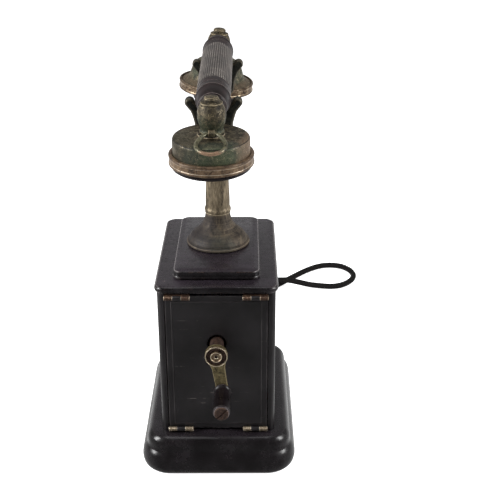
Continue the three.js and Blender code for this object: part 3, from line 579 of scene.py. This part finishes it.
def plate(outline, low, high, round_over, segments=3):
    """A flat piece along Z from an outline, with its rims rounded."""
    shape = bmesh.new()
    bottom = [shape.verts.new((x, y, low)) for x, y in outline]
    face = shape.faces.new(bottom)
    top = bmesh.ops.extrude_face_region(shape, geom=[face])["geom"]
    for vertex in [v for v in top if isinstance(v, bmesh.types.BMVert)]:
        vertex.co.z = high
    bmesh.ops.recalc_face_normals(shape, faces=shape.faces)
    rims = [e for e in shape.edges if abs(e.verts[0].co.z - e.verts[1].co.z) < 1e-6]
    bmesh.ops.bevel(shape, geom=rims, offset=round_over, segments=segments, profile=0.5, affect="EDGES",
                    clamp_overlap=True)
    vertices = [tuple(v.co) for v in shape.verts]
    flats = {v.index for f in shape.faces if abs(f.normal.z) > 0.999 for v in f.verts}
    side_low, side_high = low + round_over - 1e-4, high - round_over + 1e-4
    edges = [0.0 if v.index in flats or side_low < v.co.z < side_high else 0.8 for v in shape.verts]
    faces = [[v.index for v in f.verts] for f in shape.faces]
    shape.free()
    return vertices, faces, edges


def arc2(cx, cy, r, start, end, steps=14):
    """Points of an arc, from one angle in degrees to another."""
    angles = [math.radians(start + (end - start) * k / steps) for k in range(steps + 1)]
    return [(cx + r * math.cos(a), cy + r * math.sin(a)) for a in angles]


def lifted(points, height):
    """A profile's points or a board's levels, raised."""
    return [(a, b + height, *rest) for a, b, *rest in points]


def curve2(start, control, end, steps=8):
    """Points of a curve between two points, pulled towards a third."""
    points = []
    for k in range(steps + 1):
        t = k / steps
        points.append(tuple(a * (1 - t) ** 2 + c * 2 * t * (1 - t) + b * t * t
                            for a, c, b in zip(start, control, end)))
    return points


def catmull(points, closed=False, spacing=1.0):
    """Points about spacing apart on the centripetal Catmull-Rom curve through the given ones."""
    given = [Vector(p) for p in points]
    if closed:
        padded = [given[-1], *given, given[0], given[1]]
    else:
        padded = [2 * given[0] - given[1], *given, 2 * given[-1] - given[-2]]
    line = []
    for p0, p1, p2, p3 in zip(padded, padded[1:], padded[2:], padded[3:]):
        d0, d1, d2 = ((b - a).length ** 0.5 for a, b in ((p0, p1), (p1, p2), (p2, p3)))
        t1 = ((p1 - p0) / d0 - (p2 - p0) / (d0 + d1) + (p2 - p1) / d1) * d1
        t2 = ((p2 - p1) / d1 - (p3 - p1) / (d1 + d2) + (p3 - p2) / d2) * d1
        steps = max(1, round((p2 - p1).length / spacing))
        for k in range(steps):
            t = k / steps
            line.append(p1 + t1 * t + (3 * (p2 - p1) - 2 * t1 - t2) * t * t
                        + (2 * (p1 - p2) + t1 + t2) * t ** 3)
    if not closed:
        line.append(given[-1])
    return line


def sweep(line, radius, sides, closed=False):
    """A round bar along a line. radius is a number or a function of (place round it, length so far)."""
    count = len(line)
    tangents = []
    for i in range(count):
        before = line[i - 1] if closed or i else line[0]
        after = line[(i + 1) % count] if closed or i < count - 1 else line[-1]
        tangents.append((after - before).normalized())
    side = tangents[0].orthogonal().normalized()
    vertices = []
    length = 0.0
    for i, tangent in enumerate(tangents):
        if i:
            length += (line[i] - line[i - 1]).length
            side = (side - tangent * side.dot(tangent)).normalized()
        other = tangent.cross(side)
        for k in range(sides):
            angle = 2 * math.pi * k / sides
            r = radius(angle, length) if callable(radius) else radius
            vertices.append(tuple(line[i] + (side * math.cos(angle) + other * math.sin(angle)) * r))
    faces = skin(numbered(count, sides), closed, capped=not closed)
    return vertices, faces, [0.0] * len(vertices)


def joined(*shapes):
    """Several shapes as one, each with its own matrix: (shape, matrix) pairs."""
    vertices, faces, edges = [], [], []
    for (points, polygons, weights), matrix in shapes:
        offset = len(vertices)
        vertices += [tuple(matrix @ (Vector(p) * MM) / MM) for p in points]
        faces += [[offset + v for v in polygon] for polygon in polygons]
        edges += weights
    return vertices, faces, edges


def piece(name, shape, finish, body, place=Matrix.Identity(4), replaces=(), crisp=CRISP):
    """Makes a mesh object in metres from a shape in millimetres, with the matrix place. Without a body it
    is a cutter, or its caller says how it moves."""
    vertices, faces, edges = shape
    mesh = bpy.data.meshes.new(name)
    mesh.from_pydata([(x * MM, y * MM, z * MM) for x, y, z in vertices], [], faces)
    attribute = mesh.attributes.new("edge", "FLOAT", "POINT")
    attribute.data.foreach_set("value", edges)
    made = bpy.data.objects.new(name, mesh)
    bpy.context.scene.collection.objects.link(made)
    outward(mesh)
    mesh.materials.append(FINISHES[finish])
    mesh.shade_smooth()
    mesh.set_sharp_from_angle(angle=math.radians(crisp))
    made.matrix_world = place
    if body:
        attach(made, body)
        if replaces:
            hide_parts(*replaces)
    return made


def outward(mesh):
    shape = bmesh.new()
    shape.from_mesh(mesh)
    bmesh.ops.remove_doubles(shape, verts=shape.verts, dist=1e-7)
    bmesh.ops.recalc_face_normals(shape, faces=shape.faces)
    shape.to_mesh(mesh)
    shape.free()


def carve(target, *cutters):
    """Cuts other pieces out of a piece and removes them."""
    for cutter in cutters:
        modifier = target.modifiers.new("cut", "BOOLEAN")
        modifier.operation = "DIFFERENCE"
        modifier.solver = "EXACT"
        modifier.use_self = True
        modifier.object = cutter
    bpy.context.view_layer.update()
    evaluated = target.evaluated_get(bpy.context.evaluated_depsgraph_get())
    mesh = bpy.data.meshes.new_from_object(evaluated)
    target.modifiers.clear()
    target.data = mesh
    mesh.set_sharp_from_angle(angle=math.radians(CRISP))
    for cutter in cutters:
        bpy.data.objects.remove(cutter)


def drill(finish, radius, low, high, place):
    """A round cutter about Z, for carve."""
    drum = lathe([(0, low), (radius, low), (radius, high), (0, high)], ease=0.01)
    return piece("cutter", drum, finish, None, place)


# ---- base, case and boards ----


def add_base():
    edge = extent("base")[1]
    levels = [
        (3.4, 0, 0.8), (1.2, 2.2, 9), (-0.1, 7, 9), (0.3, 12.4, 9), (1.7, 17.2, 9), (4.4, 20.8, 2),
        (4.6, 23.4, 9), (4.7, 26.6, 9), (5.9, 30, 9), (9, 33.2, 9), (14.5, edge.z, 2.6),
    ]
    base = piece("base_moulding", board(levels, edge.x, edge.y, corner=25, arc=18), "lacquered_wood",
                 "root", replaces=["base"])
    low, high = extent("base_cord_bush")
    inlet = shift(low.x - 0.2, (low.y + high.y) / 2, (low.z + high.z) / 2) @ AXIS_X
    seat = drill("lacquered_wood", 6.7, -4, 2.8, inlet)
    tunnel = drill("lacquered_wood", 5.3, 0, 34, inlet)
    carve(base, seat, tunnel)
    bush = [(3.75, 0.2), (5.2, 0.2), (6.2, 1.0), (6.2, 2.4), (5.0, 2.4), (5.0, 13), (3.75, 13)]
    piece("base_bush", lathe(bush, 48, ease=0.4), "black_ebonite", "root", inlet, ["base_cord_bush"])


def add_boards():
    low, high = extent("top_board")
    lid = lifted([(1.6, 0, 0.5), (0.3, 1.2, 2), (-0.1, 2.8, 2), (0.2, 4.5, 2), (1.3, 5.8, 1.5)], low.z)
    lid += [(3.2, high.z, 1.2)]
    piece("lid_board", board(lid, high.x, high.y, corner=9), "dusting_sheen_lacquer", "root",
          replaces=["top_board"])
    low, high = extent("raised_board")
    steps = [(0.9, 0, 0.3), (0, 0.6, 0.5), (0, 1.8, 0.4), (0.5, 2.4, 0.3), (0.5, 4.4, 2), (0.9, 6.6, 2)]
    raised = lifted(steps, low.z) + [(2.2, high.z - 0.9, 1.6), (4.8, high.z, 2.2)]
    piece("raised_step", board(raised, high.x, high.y, corner=8), "dusting_sheen_lacquer", "root",
          replaces=["raised_board"])


def shell_section(half_x, half_y, corner, fold):
    """One folded half of the case, seen from above, as an outline."""
    x, y, inner = half_x - corner, half_y - corner, corner - SHEET
    outer = arc2(-x, y, corner, 180, 90, 12) + arc2(x, y, corner, 90, 0, 12)
    inside = arc2(x, y, inner, 0, 90, 12) + arc2(-x, y, inner, 90, 180, 12)
    return [(-half_x, half_y - fold), *outer, (half_x, half_y - fold), (half_x - SHEET, half_y - fold),
            *inside, (-half_x + SHEET, half_y - fold)]


def add_case():
    low, high = extent("case_back")
    section = shell_section(high.x, high.y, corner=5, fold=5.7)
    shell = plate(section, low.z, high.z, round_over=0.25, segments=2)
    piece("case_shell_back", shell, "japanned_sheet", "root", replaces=["case_back"])
    piece("case_shell_front", shell, "japanned_sheet", "root", HALF_TURN, ["case_front"])


def panel_shape(half_y, low, high, face):
    """A side panel with its pressed field, facing +X, as rounded rectangles stacked along X."""
    levels = [
        (0.3, 0, 0.2), (0, 0.3, 0.2), (0, SHEET - 0.6, 0.5), (0.8, SHEET, 0.5), (4.8, SHEET, 0.4),
        (5.3, SHEET + 0.4, 0.3), (5.9, SHEET + 0.4, 0.3), (6.5, SHEET + 0.25, 0.4), (14, SHEET + 0.3, 3),
    ]
    shape = board(levels, (high - low) / 2, half_y, corner=1, arc=6)
    return joined((shape, shift(face - SHEET, 0, (high + low) / 2) @ AXIS_X))


def add_panels():
    face = extent("case_back")[1].x
    low, high = extent("far_side_panel")
    shape = panel_shape(high.y, low.z, high.z, face)
    panel = piece("crank_panel", shape, "japanned_sheet", "root", replaces=["crank_side_panel"])
    carve(panel, drill("japanned_sheet", 8, face - 6, face + 6, CRANK @ AXIS_X))
    piece("far_panel", shape, "japanned_sheet", "root", HALF_TURN, ["far_side_panel"])


def knuckle(low, high, grooves):
    """A rolled hinge knuckle with wear grooves round it, as its profile along its own axis."""
    outer, bore = HINGE["knuckle"], 1.2
    profile = [(bore, low), (outer, low, 0.35)]
    for k in range(1, grooves + 1):
        groove = low + (high - low) * k / (grooves + 1)
        profile += [(outer, groove - 0.28, 0.1), (outer - 0.16, groove, 0.1), (outer, groove + 0.28, 0.1)]
    return profile + [(outer, high, 0.35), (bore, high)]


def add_hinge(name, y, z, upper, side, finish, replaces):
    """Two brass knuckles on a leaf, the panel's own knuckle between them, and the pin. side is 1 on the
    crank side and -1 on the far side."""
    half = HINGE["half"]
    third = half / 3
    place = shift(HINGE["x"], y * side, z)
    if side < 0:
        place = HALF_TURN @ place
    outer = lathe(knuckle(-half, -third - 0.15, 4), 32, ease=0.2)
    inner = lathe(knuckle(-third + 0.15, third - 0.15, 0), 32, ease=0.2)
    seat = 2.2 if upper else -2.2
    leaf = board([(0, -0.4), (0, 0.4)], 7.4, half, corner=0.7, arc=4, ease=0.15)
    brass = joined((outer, AXIS_Y), (outer, Matrix.Rotation(math.pi, 4, "X") @ AXIS_Y),
                   (leaf, shift(-7.6, 0, seat)))
    piece(f"{name}_knuckles", brass, finish, "root", place, replaces[:1])
    piece(f"{name}_roll", joined((inner, AXIS_Y)), "japanned_sheet", "root", place)
    pin = [(0, -half - 0.35), (0.95, -half - 0.35, 0.3), (0.95, half + 0.35, 0.3), (0, half + 0.35)]
    piece(f"{name}_pin", joined((lathe(pin, 20), AXIS_Y)), "rusty_steel", "root", place, replaces[1:])


def add_hinges():
    for end, y in (("front", -HINGE["y"]), ("back", HINGE["y"])):
        for level, z in (("bottom", HINGE["low"]), ("top", HINGE["high"])):
            upper = level == "top"
            nodes = [f"hinge_leaf_{level}_{end}", f"hinge_pin_{level}_{end}"]
            finish = "brown_brass" if upper else "bright_brass"
            add_hinge(f"near_hinge_{level}_{end}", y, z, upper, 1, finish, nodes)
            add_hinge(f"far_hinge_{level}_{end}", y, z, upper, -1, finish, [])


# ---- column and cradle ----


def add_column():
    z, foot_top = (corner.z for corner in extent("column_foot"))
    trumpet = [
        (7.6, 0), (26.2, 0, 0.5), (26.9, 0.9, 0.8), (26.6, 2.2, 0.6), (24.9, 3.1, 0.25), (24.9, 3.9, 0.4),
        (22.6, 8.2, 8), (18.0, 12, 8), (14.6, 15.4, 8), (12.3, 19, 8), (10.9, 23, 8),
    ]
    foot = lifted(trumpet, z) + [(10.4, foot_top, 0.4), (7.6, foot_top)]
    piece("trumpet_foot", lathe(foot, 112), "turned_brass", "root", replaces=["column_foot"])
    low, top = (corner.z for corner in extent("column_tube"))
    joint = foot_top + 0.3
    bead = [
        (7, 0), (10.5, 0, 0.4), (11.0, 0.7, 0.5), (10.7, 1.3, 0.3), (11.2, 2.2, 0.9), (11.2, 3.6, 0.9),
        (10.6, 4.8, 0.3), (10.3, 6, 2), (10.2, 14, 8), (9.5, 29, 8),
    ]
    mouth = [(9.4, -8, 2), (9.5, -6, 0.5), (10.5, -4.8, 0.6), (10.6, 0, 0.6), (6, 0, 0.4)]
    bore = [(6, joint + 5.7), (4.3, joint + 5.7)]
    tube = [(4.3, low), (7, low), *lifted(bead, joint), *lifted(mouth, top), *bore]
    piece("tube_with_bead", lathe(tube, 96), "streaked_brass", "root",
          replaces=["column_tube"])


def add_spring():
    low, high = (corner.z for corner in extent("plunger_spring"))
    turns, per_turn = 8, 24
    line = []
    for k in range(turns * per_turn + 1):
        angle = 2 * math.pi * k / per_turn
        z = low + 0.5 + (high - low - 1) * k / (turns * per_turn)
        line.append(Vector((5 * math.cos(angle), 5 * math.sin(angle), z)))
    spring = piece("plunger_coil_spring", sweep(line, radius=0.45, sides=10), "steel", None)
    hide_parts("plunger_spring")
    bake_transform(spring)


def fork_outline(tip_z):
    """Two prongs on a saddle, mirrored about the middle: (y, z) points anticlockwise."""
    saddle, tip_y, tip = 13.35, 17.8, 3.7
    stem = curve2((6, -35), (13.4, -34), (13.8, -27))
    prong = curve2((13.8, -27), (14, -20), (17.2, tip_z - 6.6))[1:] + arc2(tip_y, tip_z, tip, -28, 168)
    half = stem + prong + arc2(0, 0, saddle, -30, -90)[1:]
    return half[:-1] + [(-y, z) for y, z in reversed(half)]


def add_cradle():
    thick = 4
    for name, x, tip_z in (("near", 55, -5.2), ("far", -55, -7.4)):
        shape = plate(fork_outline(tip_z), -thick, thick, round_over=2.2, segments=4)
        piece(f"fork_{name}", joined((shape, shift(x, 0, 0) @ ONTO_YZ)), "cradle_iron", "cradle", HANDSET,
              [f"cradle_fork_{name}"])
    reach = 50.7
    upper = curve2((11, -33), (26, -30), (reach, -22))
    lower = curve2((reach, -31), (26, -40), (11, -42.6))
    right = lower[::-1] + upper[::-1]
    outline = right + [(-x, z) for x, z in reversed(right)]
    wing = plate(outline, -6, 6, round_over=2.4, segments=4)
    boss = [
        (0, -45.6), (12, -45.6, 0.8), (13.4, -43.8, 1), (13.8, -39, 3), (13.4, -35, 2), (11.4, -32.4, 1.5),
        (5.6, -30.8, 1.5), (0, -30),
    ]
    hub = joined((wing, ONTO_XZ), (lathe(boss, 72), shift(2.2, 0, 0)))
    piece("cradle_body", hub, "cradle_iron", "cradle", HANDSET, ["cradle_hub"])


# ---- crank ----


def add_crank_shaft():
    shaft = [
        (0, -37), (4, -37, 0.5), (4, 44.6, 0.1), (8.5, 44.6), (8.5, 48.6), (5.65, 48.6, 0.1),
        (5.65, 80), (5.45, 81, 0.5), (5.65, 82, 0.5), (5.65, ARM_X - 0.3), (3.5, ARM_X - 0.3, 0.1),
        (3.5, 91.6), (0, 91.6),
    ]
    piece("turned_shaft", lathe(shaft, 64), "rusty_steel", "crank", CRANK @ AXIS_X, ["crank_shaft"])


def add_crank_arm():
    """The arm, its dished eye and the nut in it."""
    outline = arc2(0, 0, 9, -42, 222, 40) + [(-5.2, -12)]
    outline += arc2(0, -CRANK_RADIUS, 4.9, 165, 375, 20) + [(5.2, -12)]
    blade = joined((plate(outline, ARM_X, ARM_FRONT, round_over=0.7), ONTO_YZ))
    arm = piece("crank_lever", blade, "olive_brass", "crank", ARM, ["crank_arm"])
    dish = drill("olive_brass", 8, ARM_FRONT - 0.9, ARM_FRONT + 3, ARM @ AXIS_X)
    bore = drill("olive_brass", 3.8, ARM_X - 1, ARM_FRONT + 2, ARM @ AXIS_X)
    screw_hole = drill("olive_brass", 2.3, ARM_X - 1, ARM_FRONT + 2, KNOB @ AXIS_X)
    carve(arm, dish, bore, screw_hole)
    rim = [(8.0, -1), (9.0, -1), (9.05, 0.5, 0.3), (8.9, 1.1, 0.2), (8.45, 1.1, 0.2), (8.0, 0, 0.6)]
    piece("crank_eye_rim", lathe(lifted(rim, ARM_FRONT), 72), "aged_brass", "crank", ARM @ AXIS_X)
    face = lifted([(3.7, -1.2), (8.1, -1.2), (8.1, -0.4), (3.7, -0.7)], ARM_FRONT)
    piece("crank_eye_face", lathe(face, 64, ease=0.05), "rusty_steel", "crank", ARM @ AXIS_X)
    nut = [
        (1.5, -0.4), (4.7, -0.4), (4.7, 1.2, 0.4), (4.4, 1.9, 0.25), (4.0, 1.9, 0.25), (3.5, 1.2, 0.5),
        (1.5, 0.9, 0.3),
    ]
    piece("crank_eye_nut", lathe(lifted(nut, ARM_FRONT), 56), "aged_brass", "crank", ARM @ AXIS_X,
          ["crank_nut"])


def add_knob():
    """The knob and the slotted screw that it turns on."""
    start, end = ARM_FRONT + 0.3, 123.5
    knob = [
        (2.3, start), (6.7, start, 0.4), (7.2, start + 0.8, 0.5), (6.9, start + 1.8, 0.6),
        (5.8, start + 3, 0.8), (5.6, start + 5, 3), (6.2, start + 10, 6), (6.5, start + 16, 6),
        (6.75, end - 4, 3), (6.7, end - 1.2, 0.8), (5.9, end, 0.6), (2.3, end),
    ]
    piece("turned_knob", lathe(knob, 72), "black_ebonite", "knob", KNOB @ AXIS_X, ["crank_knob"])
    screw = [
        (0, ARM_X + 0.4), (2, ARM_X + 0.4), (2, end + 0.3, 0.05), (5.6, end + 0.3, 0.2),
        (5.6, end + 1.1, 0.3), (4.4, end + 1.75, 0.8), (0, end + 1.9),
    ]
    head = piece("slotted_screw", lathe(screw, 56), "rusty_steel", "crank", KNOB @ AXIS_X, ["knob_screw"])
    slot = board([(0, end + 0.9), (0, end + 3)], 7, 0.6, corner=0.05, arc=1, ease=0.01)
    diagonal = Matrix.Rotation(math.radians(-52), 4, "X")
    carve(head, piece("slot_cutter", slot, "rusty_steel", None, KNOB @ diagonal @ AXIS_X))


# ---- handset ----


def add_grip():
    """Fine ribs along the middle, with smooth collars that taper to the end fittings."""
    half, ribs, per_rib = 49, 46, 6
    radius, depth = 12.95, 0.45
    vertices, edges = [], []
    sides = ribs * per_rib
    end = [(half - 1.6, 0), (half - 0.7, 0.15), (half, 1.0)]
    stations = [(-x, fade) for x, fade in reversed(end)] + end
    for x, fade in stations:
        for k in range(sides):
            angle = 2 * math.pi * k / sides
            groove = 0.5 - 0.5 * math.cos(ribs * angle)
            r = radius - depth * groove ** 2 - fade * 0.5
            vertices.append((x, r * math.cos(angle), r * math.sin(angle)))
            edges.append(0.3 - 1.1 * groove)
    shape = (vertices, skin(numbered(len(stations), sides), capped=True), edges)
    piece("ribbed_grip", shape, "ribbed_ebonite", "handset", HANDSET, ["grip"], crisp=60)
    collar = [
        (0, -2), (12.5, -2), (12.6, 0.4, 0.4), (12.7, 7, 1), (12.7, 8.4, 0.2), (12.35, 8.8, 0.2),
        (12.35, 9.2, 0.2), (12.7, 9.6, 0.2), (12.7, 15.6, 0.5), (13.2, 16.6, 0.4), (13.2, 18, 0.4),
        (12.5, 18.8, 0.4), (12.2, 21, 2), (11.5, 27, 5), (10.2, 31.6, 1.4), (10.0, 32.2, 0.2),
        (10.5, 32.9, 0.3), (10.5, 33.9, 0.3), (9.6, 34.8, 0.5), (8.5, 37, 0.5), (0, 37),
    ]
    for name, turn in (("near", AXIS_X), ("far", HALF_TURN @ AXIS_X)):
        piece(f"grip_collar_{name}", lathe(lifted(collar, half)), "collar_ebonite", "handset",
              HANDSET @ turn)


def end_fitting():
    vase = [
        (0, SEAT + 0.3), (8.6, SEAT + 0.3, 0.4), (8.9, -12.6, 0.5), (8.1, -11.2, 0.4), (8.4, -9.4, 1.5),
        (9.8, -5.4, 3), (10.4, -1.2, 3), (9.9, 2.8, 3), (8.7, 5.9, 1.2), (7.8, 6.9, 0.3), (8.1, 7.6, 0.4),
        (7.9, 8.3, 0.4), (6.6, 8.7, 0.5), (5.2, 9.1, 0.3), (5.4, 10.2, 0.6), (5.4, 11.2, 0.6),
        (4.6, 12.2, 0.8), (0, 12.7),
    ]
    socket = [
        (0, -10.7), (8.4, -10.7), (8.9, -10.2, 0.4), (8.9, -8.6, 0.4), (8.3, -8, 0.4), (8.3, 0), (0, 0),
    ]
    return joined((lathe(vase, 80), Matrix.Identity(4)), (lathe(socket, 64), AXIS_X))


def add_end_fittings():
    """The vase-shaped brass pieces that join the grip to its capsules, each with a cap nut."""
    near = HANDSET @ shift(BULB, 0, 0)
    piece("fitting_near", end_fitting(), "worn_brass", "handset", near, ["end_fitting_near"])
    outline = [(6.2, -2.1), (11, -2.1), (12.8, -0.9), (12.8, 1.2), (11, 2.6), (6.2, 2.6)]
    shape = plate(outline, -2.2, 2.2, round_over=0.5, segments=2)
    lug = piece("ring_lug", shape, "worn_brass", "handset", near @ shift(0, 0, EYE_Z) @ ONTO_XZ)
    carve(lug, drill("verdigris_brass", 1.9, -4, 4, near @ shift(EYE_X, 0, EYE_Z) @ AXIS_Y))
    far = TRANSMITTER @ HALF_TURN
    fitting = piece("fitting_far", end_fitting(), "worn_brass", "handset", far, ["end_fitting_far"])
    carve(fitting, drill("verdigris_brass", 5.8, 8.2, 14, far @ AXIS_X))
    gland = [
        (3.75, 8.5), (5.4, 8.5), (5.4, 12.2, 0.5), (4.9, 13.4, 0.4), (5.1, 14.2, 0.3), (4.9, 15, 0.3),
        (5.05, 15.8, 0.3), (4.8, 16.6, 0.3), (4.9, 17.4, 0.3), (4.7, 18.4, 0.6), (4.5, 24, 2),
        (4.3, 26.5, 0.4), (3.75, 26.5),
    ]
    piece("cord_strain_relief", lathe(gland, 48), "black_ebonite", "handset", far @ AXIS_X, ["cord_gland"])


def clamping_ring(bore, rim, top, height, bead, step, groove):
    """A ring with a bead along each rim. bead is how far down the upper one reaches, step how far the
    beads' ends draw in, and groove how deep the band between them lies."""
    low = top - height
    return [
        (bore, top), (rim - step, top, 0.4), (rim, top - 0.7, 0.5), (rim - 0.1, top - bead, 0.3),
        (rim - groove, top - bead - 0.6, 0.3), (rim - groove, low + 2.2, 0.3), (rim - 0.1, low + 1.7, 0.3),
        (rim, low + 0.7, 0.5), (rim - step, low, 0.4), (bore, low),
    ]


def add_receiver():
    back, rim = 27.9, 30.9
    cup = [
        (0, 0), (9.4, 0, 0.5), (9.7, -1.2, 0.5), (12, -1.7, 0.8), (back - 2.2, -2.4, 0.8),
        (back - 0.5, -3.0, 0.9), (back, -4.6, 1.2), (back, -21.3), (back - 1.5, -21.3),
        (back - 1.5, -4.8, 0.5), (0, -4.1),
    ]
    piece("receiver_cup", lathe(cup, 112), "verdigris_brass", "handset", RECEIVER, ["receiver_case"])
    ring = clamping_ring(back + 0.3, rim, -14.5, 8.2, bead=1.8, step=0.9, groove=0.55)
    piece("receiver_rim", lathe(ring, 128), "rim_brass", "handset", RECEIVER,
          ["receiver_ring"])
    cap = [
        (5, -21.7, 0.2), (back - 2, -21.7), (back - 2, -23), (rim - 1.6, -23, 0.3), (rim - 1.9, -24.9, 1.2),
        (rim - 4.6, -26.9, 1.6), (rim - 9, -27.4, 2), (14, -25.7, 3), (5, -23.9, 0.6),
    ]
    piece("receiver_ear_cap", lathe(cap, 112), "black_ebonite", "handset", RECEIVER, ["ear_cap"])


def add_hanging_ring():
    """A pear-shaped loop of wire, worn thinner where it hangs."""
    half = [(0, 2.4), (1.4, 5), (5.6, 7.8), (12, 10.2), (17.6, 9.8), (22.2, 6.3)]
    loop = [*half, (24.5, 0), *[(x, -y) for x, y in reversed(half)]]
    line = catmull([(x, y, 0) for x, y in loop], closed=True, spacing=0.8)

    def worn(_angle, length):
        return 1.45 - 0.15 * math.exp(-((length - 35) / 6) ** 2)

    droop = Matrix.Rotation(math.radians(13.5), 4, "Y")
    place = HANDSET @ shift(BULB + EYE_X, 0, EYE_Z) @ droop
    piece("hanging_loop", sweep(line, worn, sides=28, closed=True), "dull_brass", "ring", place,
          ["hanging_ring"])


def add_transmitter():
    capsule = TRANSMITTER @ shift(0, 0, SEAT)
    bell = 33.4
    horn = [
        (0, 0), (9.2, 0, 0.5), (13, -0.6, 1.8), (17, -1.9, 1.8), (19.6, -4, 1.6), (21.4, -7, 1.8),
        (22.8, -10.6, 1.8), (23.8, -14.2, 1.4), (25, -16.9, 1.4), (27.6, -19, 1.6),
        (bell - 2.2, -20.7, 0.4), (bell - 2.2, -26.3),
        (29.4, -26.3), (29.4, -22.4, 1), (25.6, -20.6, 1.6), (23.1, -18, 1.6),
        (21.8, -14.6, 1.6), (20.8, -11.2, 1.6), (19.4, -7.9, 1.4), (17.4, -5.4, 1.4), (13, -3.9, 1.4),
        (0, -3.4),
    ]
    piece("transmitter_horn", lathe(horn, 112), "green_brass", "handset", capsule, ["transmitter_case"])
    ring = clamping_ring(bell - 1.9, bell, -19.7, 8, bead=1.6, step=0.8, groove=0.5)
    piece("transmitter_rim", lathe(ring, 128), "aged_brass", "handset", capsule, ["transmitter_ring"])
    mouth = [
        (4, -24.9, 0.2), (29, -24.9), (29, -26.6), (31.2, -26.6, 0.3), (31.2, -27.9, 0.5), (24, -29.9, 3),
        (20.6, -31.7, 1.5), (19.9, -34, 1.5), (20.1, -36.6, 0.6), (19.4, -37.4, 0.5), (18.4, -37.2, 0.5),
        (17.4, -31.7, 3), (12, -27.9, 3), (4, -26.9, 0.4),
    ]
    piece("voice_mouthpiece", lathe(mouth, 112), "black_ebonite", "handset", capsule, ["mouthpiece"])


# ---- cord ----


def cord_route():
    """The CAD model's route, in millimetres: from the gland on the handset to the base."""
    start = BULB + 9.2
    lie = CORD_RADIUS + 0.25 - FOOT
    over = lie + 2 * CORD_RADIUS + 0.8
    inlet = 7.5

    def straight_out(d):
        return (-(start + d) * math.cos(TILT), 0, GRIP_Z + (start + d) * math.sin(TILT))

    upper = [
        straight_out(0), straight_out(12), straight_out(22), (-141, -1.4, 322), (-151, -3, 311),
        (-154.5, -4, 296), (-155, -4, 250), (-155, -4, 180),
    ]
    lower = [
        (-155, -4, 110), (-155, -4, 45), (-157, -3.6, 21), (-167, -1.6, 6.3), (-183, 2, lie + 0.7),
        (-208, 13, lie + 0.1), (-233, 29.5, lie), (-252, 46, lie), (-269, 62, lie), (-287, 78, lie),
        (-312, 102.5, lie), (-322, 118.5, lie), (-323.5, 131.7, lie), (-319.5, 143.2, lie),
        (-308.5, 152.3, lie), (-294, 155.3, lie), (-279.8, 150.3, lie), (-267.7, 138.2, lie),
        (-264.2, 126.6, lie), (-265, 113.5, lie + 0.3), (-266, 99.5, lie + 1.7), (-266, 85.5, lie + 5),
        (-266, 73.4, over), (-266.2, 61.3, over), (-267.6, 49.2, over - 0.6), (-270.6, 35.1, lie + 4.2),
        (-273.2, 20, lie + 1.2), (-271.6, 5, lie + 0.1), (-260, -15, lie), (-238, -29, lie),
        (-209, -35, lie), (-176, -35, lie + 0.1), (-146, -31, lie + 0.8), (-122, -28.4, 4.2),
        (-104, -28, inlet), (-92, -28, inlet), (-76, -28, inlet),
    ]
    return [(x, y, z + FOOT) for x, y, z in upper + lower]


def add_cord():
    """One braided cord. Its uv runs round it and along it as the threads do, for the braid's colours."""
    line = catmull(cord_route(), spacing=0.9)
    threads, pitch, relief, sides = 8, 7.0, 0.11, 32
    twist = threads / 4 * 2 * math.pi / pitch

    def surface(angle, length):
        around, on = threads * angle, twist * length
        return CORD_RADIUS - relief / 2 * (1 - math.sin(around + on) * math.sin(around - on))

    cord = piece("braided_cord", sweep(line, surface, sides), "cord_braid", None)
    mesh = cord.data
    layer = mesh.uv_layers.new(name="braid")
    lengths = np.concatenate([[0.0], np.cumsum([(b - a).length for a, b in zip(line, line[1:])])])
    for polygon in mesh.polygons:
        ring = [v % sides for v in polygon.vertices]
        wraps = max(ring) == sides - 1 and min(ring) == 0
        for loop, vertex in zip(polygon.loop_indices, polygon.vertices):
            k = vertex % sides
            angle = 2 * math.pi * (k if k or not wraps else sides) / sides
            layer.data[loop].uv = (threads * angle, twist * lengths[vertex // sides])
    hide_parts("handset_cord_upper", "handset_cord_lower")
    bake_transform(cord)


# ---- the CAD nodes that stay ----


def dress_inner_nodes():
    slots = {s["node"]: s["material_slot"] for s in frame["record"]["subparts"]}
    for name, node in frame["nodes"].items():
        node.data.materials.clear()
        node.data.materials.append(FINISHES[slots[name]])


bpy.context.scene.view_settings.view_transform = "Standard"
FINISHES = all_finishes()
add_camera()
add_cord()
add_floor()
add_world()
add_softbox("left_box", (0.35, -1.25, 0.75), (0, 0, 0.2), 0.42, 0.8, 22)
add_softbox("right_box", (0.35, 1.3, 0.75), (0, 0, 0.2), 0.36, 0.8, 17)
add_softbox("top_box", (0.1, -0.1, 1.6), (0, 0, 0.2), 0.7, 0.9, 4.5)
add_softbox("top_fill", (0.1, -0.1, 1.7), (0, 0, 0.2), 0.9, 0.9, 8, False)
dress_inner_nodes()
add_base()
add_boards()
add_case()
add_panels()
add_hinges()
add_column()
add_spring()
add_cradle()
add_crank_shaft()
add_crank_arm()
add_knob()
add_grip()
add_end_fittings()
add_receiver()
add_hanging_ring()
add_transmitter()
